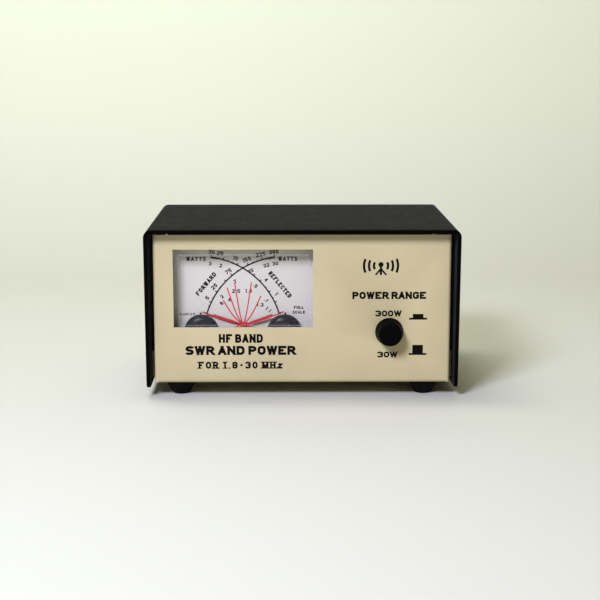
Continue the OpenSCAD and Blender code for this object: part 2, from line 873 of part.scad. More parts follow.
module switch_body() {
  color("#24323c") difference() {
    union() {
      box_between([button_x - bracket_w / 2, switch_y + GAP, button_z - 5],
        [button_x + bracket_w / 2, switch_y + switch_flange_t, button_z + 5]);
      box_between([button_x - switch_w / 2, switch_y + GAP, button_z - switch_h / 2],
        [button_x + switch_w / 2, switch_y + switch_len, button_z + switch_h / 2]);
    }
    box_between([button_x - carriage_w / 2 - 0.3, switch_y + 4, button_z - carriage_h / 2 - 0.7],
      [button_x + carriage_w / 2 + 0.3, switch_y + switch_len - 1, button_z + carriage_h / 2 + 0.3]);
    box_between([button_x - plunger / 2 - 0.3, switch_y - EPS, button_z - plunger / 2 - 0.3],
      [button_x + plunger / 2 + 0.3, switch_y + 5, button_z + plunger / 2 + 0.3]);
    for (side = [-1, 1])
      rod_y(button_x + side * switch_screw_x, switch_y - EPS, button_z, small_screw_r + GAP,
        switch_flange_t + 2 * EPS);
    for (x = switch_pin_x, y = switch_pin_y)
      translate([button_x + x, switch_y + y, button_z - switch_h / 2 - EPS])
        cylinder(r = switch_pin_r + GAP, h = switch_h / 2);
  }
}

module switch_pins() {
  for (x = switch_pin_x, y = switch_pin_y)
    color("#b9bcbd") translate([button_x + x, switch_y + y, button_z - switch_h / 2 - switch_pin_out])
      cylinder(r = switch_pin_r, h = switch_pin_out + switch_h / 2 - carriage_h / 2 - 0.8);
}

module switch_bracket() {
  y0 = switch_y - bracket_t;
  color("#a9acad") difference() {
    union() {
      box_between([button_x - bracket_w / 2, y0, floor_in],
        [button_x + bracket_w / 2, switch_y, bracket_top]);
      box_between([button_x - bracket_w / 2, y0, floor_in],
        [button_x + bracket_w / 2, switch_y + bracket_foot, floor_in + bracket_t]);
    }
    box_between([button_x - plunger / 2 - 0.5, y0 - EPS, button_z - plunger / 2 - 0.5],
      [button_x + plunger / 2 + 0.5, switch_y + EPS, button_z + plunger / 2 + 0.5]);
    for (side = [-1, 1]) {
      rod_y(button_x + side * switch_screw_x, y0 - EPS, button_z, small_screw_r + 0.1, bracket_t + 2 * EPS);
      translate([button_x + side * switch_screw_x, switch_y + bracket_foot / 2 + bracket_t, floor_in - EPS])
        cylinder(r = small_screw_r + 0.1, h = bracket_t + 2 * EPS);
    }
  }
}

module switch_screws() {
  for (side = [-1, 1]) {
    color("#b6b8b9") translate([button_x + side * switch_screw_x, switch_y - bracket_t - GAP, button_z])
      rotate([90, 0, 0]) pan_screw(small_screw_r, 5.5, 2.4, 1.5);
    color("#b6b8b9") translate([button_x + side * switch_screw_x,
      switch_y + bracket_foot / 2 + bracket_t, floor_z - GAP]) rotate([180, 0, 0])
      pan_screw(small_screw_r, 5.5, 2.4, 1.5);
  }
}

// Rear connectors

module connector_shell(x) {
  mouth = back_y + connector_out;
  difference() {
    union() {
      box_between([x - flange / 2, back_y + GAP, connector_z - flange / 2],
        [x + flange / 2, back_y + flange_t, connector_z + flange / 2]);
      rod_y(x, back_in - barrel_tail, connector_z, connector_hole_r - 0.3,
        barrel_tail + sheet_t + flange_t);
      rod_y(x, back_y + flange_t / 2, connector_z, barrel_r, connector_out - flange_t / 2);
    }
    rod_y(x, back_in - barrel_tail - EPS, connector_z, barrel_in, mouth - back_in + barrel_tail + 2 * EPS);
    for (dx = [-1, 1], dz = [-1, 1])
      rod_y(x + dx * flange_pitch / 2, back_y - EPS, connector_z + dz * flange_pitch / 2,
        flange_screw_r + 0.1, flange_t + 2 * EPS);
  }
}

module connector_insulator(x) {
  y0 = back_in - insulator_tail;
  y1 = back_y + connector_out - insulator_face;
  difference() {
    rod_y(x, y0, connector_z, insulator_r, y1 - y0);
    rod_y(x, y0 - EPS, connector_z, contact_r + GAP, y1 - y0 + 2 * EPS);
  }
}

module connector_contact(x) {
  y0 = back_in - solder_end;
  y1 = back_y + connector_out - insulator_face - 0.5;
  difference() {
    union() {
      rod_y(x, y0 + 4, connector_z, contact_r, y1 - y0 - 4);
      rod_y(x, y0, connector_z, solder_r, 5);
    }
    rod_y(x, y1 - contact_depth, connector_z, contact_bore, contact_depth + EPS);
  }
}

module tx_connector_shell() {
  color("#b9bab8") connector_shell(-connector_x);
}

module antenna_connector_shell() {
  color("#b9bab8") connector_shell(connector_x);
}

module tx_connector_contact() {
  color("#c9b98a") connector_contact(-connector_x);
}

module antenna_connector_contact() {
  color("#c9b98a") connector_contact(connector_x);
}

module connector_insulators() {
  for (side = [-1, 1])
    color("#ece9df") connector_insulator(side * connector_x);
}

module at_connector_screws() {
  for (side = [-1, 1], dx = [-1, 1], dz = [-1, 1])
    translate([side * connector_x + dx * flange_pitch / 2, 0,
      connector_z + dz * flange_pitch / 2]) children();
}

module connector_screws() {
  at_connector_screws() color("#b6b8b9") translate([0, back_y + flange_t + GAP, 0]) rotate([-90, 0, 0])
    pan_screw(flange_screw_r, 7, 2.8, 1.7);
}

module connector_nuts() {
  at_connector_screws() color("#b6b8b9") translate([0, back_in - 2.4 - GAP, 0]) rotate([-90, 0, 0])
    nut(3.1, flange_screw_r + GAP, 2.4);
}

module dc_jack_body() {
  y0 = back_in - jack_len;
  color("#191919") turned_y(jack_x, y0, jack_z, [[jack_pin_root_r + GAP, 0], [jack_thread_r, 0],
    [jack_thread_r, jack_len + sheet_t + GAP], [jack_flange_r, jack_len + sheet_t + GAP],
    [jack_flange_r, jack_len + sheet_t + jack_flange_t - 0.4],
    [jack_flange_r - 0.4, jack_len + sheet_t + jack_flange_t],
    [jack_bore_r, jack_len + sheet_t + jack_flange_t], [jack_bore_r, jack_floor],
    [jack_pin_root_r + GAP, jack_floor]]);
}

module dc_jack_pin() {
  y0 = back_in - jack_len;
  color("#c9cbcc") union() {
    rod_y(jack_x, y0 - jack_pin_tail, jack_z, jack_pin_root_r, jack_pin_tail + jack_floor);
    rod_y(jack_x, y0, jack_z, jack_pin_r, jack_len + sheet_t + jack_pin_tip);
    box_between([jack_x - 1, y0 - jack_pin_tail - 2, jack_z - 0.4], [jack_x + 1, y0 - 1, jack_z + 0.4]);
  }
}

module dc_jack_nut() {
  color("#b6b8b9") translate([jack_x, back_in - 2.5 - GAP, jack_z]) rotate([-90, 0, 0])
    nut(6.2, jack_thread_r + GAP, 2.5);
}

// Directional coupler

module coupler_board() {
  color("#3c6b3f") difference() {
    box_between([-board_w / 2, board_y, board_z], [board_w / 2, board_y + board_d, board_top]);
    for (x = [-board_hole_x, board_hole_x], y = board_hole_y)
      translate([x, y, board_z - EPS]) cylinder(r = 1.7, h = board_t + 2 * EPS);
  }
}

module board_standoffs() {
  for (x = [-board_hole_x, board_hole_x], y = board_hole_y)
    color("#c9a354") translate([x, y, floor_in]) nut(3, 1.5 + GAP, standoff_h);
}

module board_screws() {
  for (x = [-board_hole_x, board_hole_x], y = board_hole_y)
    color("#b6b8b9") translate([x, y, board_top + GAP]) pan_screw(1.5, 6, 2.8, 1.8);
}

module through_line() {
  color("#b87333") translate([-connector_x - solder_r, line_y - line_r, connector_z]) rotate([0, 90, 0])
    cylinder(r = line_r, h = 2 * (connector_x + solder_r));
}

module ring_x(x, length, r_in, r_out) {
  translate([x, line_y - line_r, connector_z]) rotate([0, 90, 0]) difference() {
    cylinder(r = r_out, h = length);
    translate([0, 0, -EPS]) cylinder(r = r_in, h = length + 2 * EPS);
  }
}

module line_sleeve() {
  color("#dcd8c8") ring_x(-sleeve_len / 2, sleeve_len, line_r + GAP, sleeve_r);
}

module toroid_core() {
  color("#4a4c4e") ring_x(-toroid_w / 2, toroid_w, toroid_r[0], toroid_r[1]);
}

// Each turn is an oval loop round the core's section, carried round the core.
module toroid_winding() {
  middle = (toroid_r[0] + toroid_r[1]) / 2;
  steps = winding_turns * 10;
  turn = [for (i = [0 : steps]) let (a = 36 * i, b = winding_sweep * (i / steps - 0.2))
    [loop_x * squared(sin(a)), (middle + loop_r * squared(cos(a))) * cos(b),
      (middle + loop_r * squared(cos(a))) * sin(b)]];
  color("#b5622b") translate([0, line_y - line_r, connector_z]) tube(turn, [1, 0, 0], winding_wire, 6);
}

// Flattens a sine so that a loop hugs a square section.
function squared(v) = sign(v) * pow(abs(v), 0.7);

// A part lying above the board, with its two leads bent down to it: size holds its length and radius.
module leaded_part(x, y, size) {
  lift = size[1] + 0.5;
  translate([x, y, board_top + lift]) rotate([0, 90, 0]) {
    cylinder(r = size[1], h = size[0], center = true);
    cylinder(r = part_lead_r, h = size[0] + 2 * part_lead_reach, center = true);
  }
  for (side = [-1, 1])
    translate([x + side * (size[0] / 2 + part_lead_reach - part_lead_r), y, board_top + GAP])
      cylinder(r = part_lead_r, h = lift);
}

module resistors() {
  for (x = resistor_x)
    color("#b89463") union() leaded_part(x, board_y + resistor_row, resistor_size);
}

module diodes() {
  for (x = diode_x)
    color("#b5531f") union() leaded_part(x, board_y + diode_row, diode_size);
}

module capacitors() {
  lift = capacitor_r + 1.2;
  for (x = capacitor_x)
    color("#c07a2c") union() {
      translate([x, board_y + capacitor_row, board_top + lift]) rotate([90, 0, 0])
        cylinder(r = capacitor_r, h = 1.8, center = true);
      for (side = [-1, 1])
        translate([x + side * capacitor_pitch / 2, board_y + capacitor_row, board_top + GAP])
          cylinder(r = part_lead_r, h = lift - 1.2);
    }
}

module at_trimmer(side) {
  translate([side * trimmer_x, trimmer_y, board_top]) children();
}

module trimmer_body() {
  difference() {
    box_between([-trimmer_size / 2, -trimmer_size / 2, GAP],
      [trimmer_size / 2, trimmer_size / 2, trimmer_h]);
    translate([0, 0, trimmer_h - rotor_h / 2]) cylinder(r = rotor_r + 0.3, h = rotor_h);
  }
}

module trimmer_bodies() {
  for (side = [-1, 1])
    color("#2a56a0") at_trimmer(side) trimmer_body();
}

module trimmer_rotor() {
  difference() {
    translate([0, 0, trimmer_h - rotor_h / 2 + GAP]) cylinder(r = rotor_r, h = rotor_h);
    box_between([-rotor_r, -0.35, trimmer_h + 0.2], [rotor_r, 0.35, trimmer_h + rotor_h]);
  }
}

module forward_trimmer_rotor() {
  color("#e4e2da") at_trimmer(1) trimmer_rotor();
}

module reflected_trimmer_rotor() {
  color("#e4e2da") at_trimmer(-1) trimmer_rotor();
}

// Each wire is a smooth route from its terminal, clear of the pieces between, to the board or the lamp.
function down_to_board(x) =
  [[x, board_y - 5, board_top + 5.2], [x, board_y + wire_landing - 1, board_top + 3.2],
    [x, board_y + wire_landing, board_top + GAP + 0.1]];

module wire(tint, points, side) {
  color(tint) tube(smooth_route(points, 5), side, wire_r);
}

module meter_wires() {
  lug_y = meter_back + 4.6;
  tints = ["#c0392b", "#1e1e1e", "#e0c040"];
  for (i = [0 : 2]) {
    x = window_x + terminal_x[i];
    end_x = -40 + wire_pitch * i;
    wire(tints[i], concat([[x, lug_y, terminal_z - 6.6], [x, lug_y, 38], [end_x, lug_y + 1, 28]],
      down_to_board(end_x)), [1, 0, 0]);
  }
}

module lamp_wires() {
  tints = ["#c0392b", "#1e1e1e"];
  for (i = [0 : 1])
    wire(tints[i], [[jack_x + 3 * i - 1.5, back_in - jack_len - 6.2, jack_z - 2 + 4 * i],
      [jack_x - 2, back_in - 30, 58 + 2 * i], [40, -6, 74 + 2 * i], [10, -12, 76 + 2 * i],
      [window_x + 12, meter_back + 12, 75 + 2 * i],
        [window_x + 3 * i, meter_back + 8, lamp_z + 3 * i - 1.5]],
      [0, 0, 1]);
}

module switch_wires() {
  tints = ["#d8d8d4", "#2f6fb0", "#c0392b"];
  for (i = [0 : 2]) {
    pin_y = switch_y + switch_pin_y[2 - i];
    end_x = button_x - 14 - 3 * i;
    wire(tints[i], concat([[button_x - 2.5, pin_y, button_z - switch_h / 2 - 4.4],
      [button_x - 3 - 2.2 * i, pin_y, 21], [button_x - 4 - 2.4 * i, switch_y + 24, 14 + i],
      [end_x + 5, board_y - 6, 22]], [for (k = [1 : 2]) down_to_board(end_x)[k]]), [1, 0, 0]);
  }
}

module wiring() {
  meter_wires();
  lamp_wires();
  switch_wires();
}

cover();
chassis();
cover_screws();
feet();
foot_screws();
meter_case();
meter_window();
dial_plate();
dial_screws();
panel_studs();
meter_nuts();
meter_terminals();
lamp_holder();
lamp();
movement_yokes();
magnet_cores();
movement_bridges();
jewel_screws();
forward_needle();
forward_coil();
forward_hairsprings();
forward_zero_lever();
forward_pivot_cap();
reflected_needle();
reflected_coil();
reflected_hairsprings();
reflected_zero_lever();
reflected_pivot_cap();
range_button();
switch_plunger();
switch_spring();
switch_body();
switch_clips();
switch_pins();
switch_bracket();
switch_screws();
tx_connector_shell();
tx_connector_contact();
antenna_connector_shell();
antenna_connector_contact();
connector_insulators();
connector_screws();
connector_nuts();
dc_jack_body();
dc_jack_pin();
dc_jack_nut();
coupler_board();
board_standoffs();
board_screws();
through_line();
line_sleeve();
toroid_core();
toroid_winding();
resistors();
diodes();
capacitors();
trimmer_bodies();
forward_trimmer_rotor();
reflected_trimmer_rotor();
wiring();
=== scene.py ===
"""Looks of a cross-needle SWR meter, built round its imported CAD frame.

Lengths are in millimetres until finish_piece turns a mesh into metres.
"""
import json
import math

import bmesh
import bpy
from mathutils import Matrix, Vector


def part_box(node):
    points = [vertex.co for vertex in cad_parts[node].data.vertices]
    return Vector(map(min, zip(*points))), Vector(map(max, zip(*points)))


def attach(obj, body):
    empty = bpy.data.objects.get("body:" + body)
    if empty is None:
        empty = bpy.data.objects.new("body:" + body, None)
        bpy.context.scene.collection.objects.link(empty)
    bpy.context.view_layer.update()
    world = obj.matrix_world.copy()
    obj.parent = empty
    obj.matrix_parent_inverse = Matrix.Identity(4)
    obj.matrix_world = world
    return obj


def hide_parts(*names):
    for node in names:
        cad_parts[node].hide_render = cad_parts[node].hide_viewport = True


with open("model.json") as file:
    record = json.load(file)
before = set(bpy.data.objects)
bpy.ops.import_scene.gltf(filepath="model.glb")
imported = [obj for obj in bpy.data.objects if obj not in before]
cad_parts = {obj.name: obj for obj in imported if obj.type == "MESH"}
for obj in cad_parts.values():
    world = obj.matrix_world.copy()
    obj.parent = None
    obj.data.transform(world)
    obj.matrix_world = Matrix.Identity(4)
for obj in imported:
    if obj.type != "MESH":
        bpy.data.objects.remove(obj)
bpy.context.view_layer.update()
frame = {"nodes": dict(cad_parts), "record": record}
NODES = frame["nodes"]
MM = 0.001


def box_mm(node):
    """A CAD node's lowest and highest corners in millimetres."""
    low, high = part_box(node)
    return low / MM, high / MM


def centre_mm(node):
    low, high = box_mm(node)
    return (low + high) / 2


# ---- places read from the frame

COVER_LO, COVER_HI = box_mm("cover")
CHASSIS_LO, CHASSIS_HI = box_mm("chassis")
JEWEL_LO, JEWEL_HI = box_mm("jewel_screws")
LENS_LO, LENS_HI = box_mm("meter_window")
BUTTON_LO, BUTTON_HI = box_mm("range_button")
PANEL_Y = CHASSIS_LO.y
BACK_Y = CHASSIS_HI.y
DIAL_Y = box_mm("dial_plate")[0].y
BRIDGE_X = centre_mm("movement_bridges").x
JEWEL_HEAD_R = 1.2
FORWARD_X = BRIDGE_X + (JEWEL_HI.x - JEWEL_LO.x) / 2 - JEWEL_HEAD_R
REFLECTED_X = 2 * BRIDGE_X - FORWARD_X
PIVOT_Z = centre_mm("jewel_screws").z
DIAL_X = (FORWARD_X + REFLECTED_X) / 2

# ---- sizes of the pieces

SHEET_T, BEND_R = 1.2, 1.75
CHASSIS_HALF = -CHASSIS_LO.x
SEAM_X = CHASSIS_HALF - 2.0 - BEND_R  # where the flat of a panel meets its side return
COVER_T, COVER_BEND, COVER_CORNER, COVER_LEAN = 2.0, 4.0, 3.5, 3.0
COVER_SCREW_HEAD_R = 3.0
FOOT_R = 8.4
SWITCH_SCREW_HEAD_R = 2.4
SOCKETS = ("tx_connector_shell", "antenna_connector_shell")
SOCKET_SCREW = 9.13  # from a socket's middle to its flange screws, along x and z
WINDOW_W, WINDOW_H = 73.4, 41.5
WINDOW_X = (LENS_LO.x + LENS_HI.x) / 2
WINDOW_Z0 = 37.5
BUTTON_X = (BUTTON_LO.x + BUTTON_HI.x) / 2
BUTTON_Z = (BUTTON_LO.z + BUTTON_HI.z) / 2
INK = 0.02  # how far print stands out of its face


def cover_screw_places():
    """The y of the front and rear cover screws, and the height of both."""
    lo, hi = box_mm("cover_screws")
    return (lo.y + COVER_SCREW_HEAD_R, hi.y - COVER_SCREW_HEAD_R), (lo.z + hi.z) / 2


def foot_places():
    lo, hi = box_mm("feet")
    return [(x, y) for x in (lo.x + FOOT_R, hi.x - FOOT_R) for y in (lo.y + FOOT_R, hi.y - FOOT_R)]


def socket_screw_places(c):
    """The x, z of the four screws round the coaxial socket whose middle is at c."""
    return [(c.x + a * SOCKET_SCREW, c.z + b * SOCKET_SCREW) for a in (-1, 1) for b in (-1, 1)]


# ---- materials


class Shader:
    """A Principled material whose nodes are added one by one."""

    def __init__(self, name, colour, rough, metal=0.0, **sockets):
        self.mat = bpy.data.materials.new(name)
        self.mat.use_nodes = True
        self.tree = self.mat.node_tree
        self.bsdf = self.tree.nodes["Principled BSDF"]
        self.colour = tuple(colour) + (1.0,)
        self.bsdf.inputs["Base Color"].default_value = self.colour
        self.bsdf.inputs["Roughness"].default_value = rough
        self.bsdf.inputs["Metallic"].default_value = metal
        for key, value in sockets.items():
            self.bsdf.inputs[key.replace("_", " ")].default_value = value
        self.place = self.node("ShaderNodeTexCoord").outputs["Object"]
        self.bump = None

    def node(self, kind, **settings):
        made = self.tree.nodes.new(kind)
        for key, value in settings.items():
            setattr(made, key, value)
        return made

    def link(self, a, b):
        self.tree.links.new(a, b)

    def stretched(self, scale):
        mapping = self.node("ShaderNodeMapping")
        mapping.inputs["Scale"].default_value = scale
        self.link(self.place, mapping.inputs["Vector"])
        return mapping.outputs["Vector"]

    def noise(self, scale, detail=3.0, rough=0.5, stretch=None):
        """Noise with this many cells a millimetre."""
        tex = self.node("ShaderNodeTexNoise")
        tex.inputs["Scale"].default_value = scale / MM
        tex.inputs["Detail"].default_value = detail
        tex.inputs["Roughness"].default_value = rough
        self.link(self.stretched(stretch) if stretch else self.place, tex.inputs["Vector"])
        return tex.outputs["Fac"]

    def cells(self, scale):
        """Soft-edged cells, this many a millimetre."""
        tex = self.node("ShaderNodeTexVoronoi", feature="SMOOTH_F1")
        tex.inputs["Scale"].default_value = scale / MM
        tex.inputs["Smoothness"].default_value = 0.6
        self.link(self.place, tex.inputs["Vector"])
        return tex.outputs["Distance"]

    def ramp(self, fac, low, high, a=0.35, b=0.65):
        ramp = self.node("ShaderNodeValToRGB")
        ramp.color_ramp.elements[0].position = a
        ramp.color_ramp.elements[1].position = b
        ramp.color_ramp.elements[0].color = tuple(low) + (1.0,)
        ramp.color_ramp.elements[1].color = tuple(high) + (1.0,)
        self.link(fac, ramp.inputs["Fac"])
        return ramp.outputs["Color"]

    def vary_colour(self, fac, spread, a=0.35, b=0.65):
        """Base colour between its own darker and lighter shade, by fac."""
        low = [c * (1 - spread) for c in self.colour[:3]]
        high = [min(1.0, c * (1 + spread)) for c in self.colour[:3]]
        self.link(self.ramp(fac, low, high, a, b), self.bsdf.inputs["Base Color"])

    def vary_rough(self, fac, low, high, a=0.3, b=0.7):
        self.link(self.ramp(fac, [low] * 3, [high] * 3, a, b), self.bsdf.inputs["Roughness"])

    def add_bump(self, height, distance):
        bump = self.node("ShaderNodeBump")
        bump.inputs["Distance"].default_value = distance * MM
        bump.inputs["Strength"].default_value = 1.0
        self.link(height, bump.inputs["Height"])
        if self.bump is not None:
            self.link(self.bump.outputs["Normal"], bump.inputs["Normal"])
        self.bump = bump
        self.link(bump.outputs["Normal"], self.bsdf.inputs["Normal"])


def cover_paint():
    s = Shader("cover_paint", (0.0018, 0.0019, 0.0019), 0.6, Specular_IOR_Level=0.008, Sheen_Weight=0.075,
               Sheen_Roughness=0.32)
    grain = s.noise(1.1, 4, 0.62)
    s.vary_colour(grain, 0.14, 0.36, 0.66)
    s.vary_rough(s.noise(0.25), 0.54, 0.68)
    s.add_bump(s.cells(1.4), 0.03)
    s.add_bump(grain, 0.03)
    return s.mat


def surface(name, colour, rough, tint=None, gloss=None, bumps=(), **sockets):
    """A material with noise in its colour, roughness and height.

    Tint is scale, detail and spread; gloss is scale, detail, low and high; a bump is scale, detail and depth.
    """
    s = Shader(name, colour, rough, **sockets)
    if tint:
        s.vary_colour(s.noise(*tint[:2]), tint[2])
    if gloss:
        s.vary_rough(s.noise(*gloss[:2]), *gloss[2:])
    for scale, detail, depth in bumps:
        s.add_bump(s.noise(scale, detail), depth)
    return s.mat


def metal(name, colour, rough, stretch=(1, 1, 1)):
    s = Shader(name, colour, rough, 1.0)
    brushed = s.noise(2.5, 4, 0.6, stretch)
    s.vary_colour(s.noise(0.15, 4), 0.08)
    s.vary_rough(brushed, max(0.05, rough - 0.08), rough + 0.1)
    s.add_bump(brushed, 0.006)
    return s.mat


def plastic(name, colour, rough, **sockets):
    gloss = (0.4, 3, rough - 0.06, rough + 0.08)
    return surface(name, colour, rough, (0.2, 3, 0.06), gloss, [(1.2, 3, 0.012)], **sockets)


def clear_plastic(name, alpha):
    return surface(name, (0.55, 0.56, 0.60), 0.06, (0.05, 2, 0.03), (0.06, 2, 0.05, 0.09), [(0.02, 1, 0.002)],
                   Alpha=alpha, Specular_IOR_Level=0.5)


def ink(name, colour, rough=0.5):
    return surface(name, colour, rough, (2.0, 3, 0.12), None, [(4.0, 2, 0.004)], Specular_IOR_Level=0.08)


def board_laminate():
    s = Shader("board_green", (0.03, 0.16, 0.06), 0.35, Coat_Weight=0.3, Coat_Roughness=0.2)
    s.vary_colour(s.noise(0.35, 2, 0.4, (1, 6, 1)), 0.25, 0.45, 0.55)
    s.add_bump(s.noise(1.2), 0.01)
    return s.mat


def enamelled_wire():
    s = Shader("copper", (0.72, 0.30, 0.14), 0.28, 1.0)
    s.vary_colour(s.noise(0.8, 4), 0.2)
    s.vary_rough(s.noise(3.0, 4, 0.6, (1, 1, 6)), 0.2, 0.4)
    s.add_bump(s.noise(3.0, 3, 0.5, (6, 1, 1)), 0.02)
    return s.mat


M = {
    "cover_paint": cover_paint(),
    "panel_paint": surface("panel_paint", (0.545, 0.46, 0.268), 0.42, (0.03, 3, 0.035), (0.12, 4, 0.36, 0.50),
                           [(2.2, 3, 0.012), (0.35, 2, 0.015)], Specular_IOR_Level=0.35),
    "black_screw": metal("black_screw", (0.05, 0.05, 0.052), 0.38),
    "foot_rubber": surface("foot_rubber", (0.004, 0.0042, 0.0045), 0.6, (0.4, 4, 0.35), (0.6, 3, 0.6, 0.8),
                           [(1.8, 4, 0.05)], Specular_IOR_Level=0.06),
    "zinc_steel": metal("zinc_steel", (0.66, 0.67, 0.66), 0.28, (1, 5, 1)),
    "meter_moulding": plastic("meter_moulding", (0.022, 0.022, 0.022), 0.5),
    "clear_window": clear_plastic("clear_window", 0.02),
    "dial_white": surface("dial_white", (0.62, 0.58, 0.52), 0.6, (0.05, 3, 0.02), (0.8, 3, 0.52, 0.68),
                          [(3.0, 3, 0.006)]),
    "brass": metal("brass", (0.82, 0.60, 0.27), 0.26, (5, 1, 1)),
    "black_plastic": plastic("black_plastic", (0.006, 0.0055, 0.0055), 0.3, Specular_IOR_Level=0.14),
    "lamp_glass": surface("lamp_glass", (0.98, 0.95, 0.86), 0.05, gloss=(0.5, 2, 0.03, 0.09),
                          Transmission_Weight=0.9, IOR=1.45),
    "soft_iron": metal("soft_iron", (0.33, 0.34, 0.35), 0.42, (1, 8, 1)),
    "needle_red": ink("needle_red", (0.56, 0.018, 0.022), 0.4),
    "copper": enamelled_wire(),
    "button_black": surface("button_black", (0.0024, 0.0024, 0.0026), 0.42, (0.5, 3, 0.2),
                            (0.7, 3, 0.36, 0.48), [(1.5, 3, 0.012)], Specular_IOR_Level=0.01),
    "white_plastic": plastic("white_plastic", (0.80, 0.78, 0.70), 0.4),
    "spring_steel": metal("spring_steel", (0.6, 0.61, 0.62), 0.22),
    "switch_plastic": plastic("switch_plastic", (0.035, 0.09, 0.2), 0.4),
    "nickel": metal("nickel", (0.72, 0.70, 0.66), 0.24, (1, 6, 1)),
    "contact_gold": metal("contact_gold", (0.86, 0.66, 0.32), 0.2),
    "board_green": board_laminate(),
    "ferrite": surface("ferrite", (0.05, 0.05, 0.055), 0.62, (1.5, 5, 0.3), None, [(2.5, 4, 0.03)]),
    "part_resin": surface("part_resin", (0.50, 0.22, 0.07), 0.3, (1.0, 4, 0.25), None, [(0.8, 3, 0.02)],
                          Coat_Weight=0.4, Coat_Roughness=0.1),
    "wire_jacket": plastic("wire_jacket", (0.45, 0.05, 0.04), 0.45),
}
LENS_RIM = clear_plastic("lens_rim", 0.1)
BLACK_INK = ink("black_ink", (0.002, 0.002, 0.002), 0.7)
RED_INK = ink("red_ink", (0.60, 0.03, 0.04))


# ---- mesh helpers


def to_mesh(bm, name):
    """Turns a bmesh into a mesh and frees it."""
    mesh = bpy.data.meshes.new(name)
    bm.to_mesh(mesh)
    bm.free()
    return mesh


def add_object(name, data):
    obj = bpy.data.objects.new(name, data)
    bpy.context.scene.collection.objects.link(obj)
    return obj


def finish_piece(name, bm, material, body="housing", sharp=35, replaces=()):
    """Turns millimetres into metres, shades by angle and puts the piece on its body."""
    bmesh.ops.scale(bm, vec=(MM, MM, MM), verts=bm.verts)
    bmesh.ops.recalc_face_normals(bm, faces=bm.faces)
    mesh = to_mesh(bm, name)
    mesh.materials.append(M[material] if isinstance(material, str) else material)
    mesh.shade_smooth()
    mesh.set_sharp_from_angle(angle=math.radians(sharp))
    piece = add_object(name, mesh)
    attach(piece, body)
    if replaces:
        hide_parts(*replaces)


def arc(x, y, r, start, end, steps):
    """Points along a circle from the start to the end angle, in degrees."""
    return [(x + r * math.cos(math.radians(start + (end - start) * i / steps)),
             y + r * math.sin(math.radians(start + (end - start) * i / steps))) for i in range(steps + 1)]


def bevel_sharp(bm, width, segments=2, angle=40, keep=None):
    """Rounds every edge sharper than angle, unless keep says to leave it."""
    bm.normal_update()
    limit = math.radians(angle)
    edges = [e for e in bm.edges if len(e.link_faces) == 2 and e.calc_face_angle(0) > limit
             and not (keep and keep(e))]
    if edges:
        bmesh.ops.bevel(bm, geom=edges, offset=width, segments=segments, profile=0.6, affect="EDGES",
                        clamp_overlap=True)


def bridge(bm, a, b, closed=True):
    """Quads between two rows of corners, or round two rings."""
    count = len(a)
    for k in range(count if closed else count - 1):
        n = (k + 1) % count
        bm.faces.new((a[k], a[n], b[n], b[k]))


def prism(bm, outline, low, high, plane="XZ"):
    """Extrudes a closed outline: XZ runs along Y, XY along Z and YZ along X."""
    order = {"XZ": lambda a, b, c: (a, c, b),
             "XY": lambda a, b, c: (a, b, c),
             "YZ": lambda a, b, c: (c, a, b)}[plane]
    near, far = [[bm.verts.new(order(a, b, c)) for a, b in outline] for c in (low, high)]
    bridge(bm, near, far)
    bm.faces.new(near)
    bm.faces.new(far[::-1])


def add_box(bm, low, high):
    (x0, y0, z0), (x1, y1, z1) = low, high
    prism(bm, [(x0, z0), (x1, z0), (x1, z1), (x0, z1)], y0, y1)


def lathe(bm, profile, centre, axis="Y", segments=64, closed=False):
    """Turns a profile of (radius, height) about an axis through centre. Radius 0 makes a tip."""
    turn = {"Y": lambda r, h, a: (r * math.cos(a), h, r * math.sin(a)),
            "Z": lambda r, h, a: (r * math.cos(a), r * math.sin(a), h),
            "X": lambda r, h, a: (h, r * math.cos(a), r * math.sin(a))}[axis]
    c = Vector(centre)
    angles = [2 * math.pi * k / segments for k in range(segments)]
    rings = [[bm.verts.new(c + Vector(turn(r, h, a))) for a in (angles if r > 0 else [0])]
             for r, h in profile]
    for a, b in zip(rings, rings[1:] + (rings[:1] if closed else [])):
        if len(a) == len(b):
            bridge(bm, a, b)
            continue
        for k in range(segments):
            n = (k + 1) % segments
            bm.faces.new((a[0], b[n], b[k]) if len(a) == 1 else (a[k], a[n], b[0]))


def rounded(profile, radius, steps=4):
    """Rounds the inner corners of an open profile of (radius, height) points."""
    made = [profile[0]]
    for before, here, after in zip(profile, profile[1:], profile[2:]):
        p, a, b = Vector(here), Vector(before), Vector(after)
        reach = min(radius, (a - p).length * 0.45, (b - p).length * 0.45)
        start, end = p + (a - p).normalized() * reach, p + (b - p).normalized() * reach
        for i in range(steps + 1):
            t = i / steps
            made.append(tuple(start * (1 - t) ** 2 + p * 2 * t * (1 - t) + end * t * t))
    made.append(profile[-1])
    return made


def cut(bm, cutters):
    """Takes closed cutter shapes out of bm with exact booleans and returns the new bmesh."""
    target = add_object("base", to_mesh(bm, "base"))
    tools = []
    for cutter in cutters:
        bmesh.ops.recalc_face_normals(cutter, faces=cutter.faces)
        tool = add_object("tool", to_mesh(cutter, "tool"))
        tools.append(tool)
        modifier = target.modifiers.new("cut", "BOOLEAN")
        modifier.operation = "DIFFERENCE"
        modifier.solver = "EXACT"
        modifier.object = tool
    evaluated = target.evaluated_get(bpy.context.evaluated_depsgraph_get())
    out = bmesh.new()
    out.from_mesh(evaluated.to_mesh())
    evaluated.to_mesh_clear()
    for obj in [target] + tools:
        mesh = obj.data
        bpy.data.objects.remove(obj)
        bpy.data.meshes.remove(mesh)
    bmesh.ops.remove_doubles(out, verts=out.verts, dist=1e-4)
    bmesh.ops.dissolve_degenerate(out, edges=out.edges, dist=1e-4)
    return out


def tool_box(low, high):
    bm = bmesh.new()
    add_box(bm, low, high)
    return bm


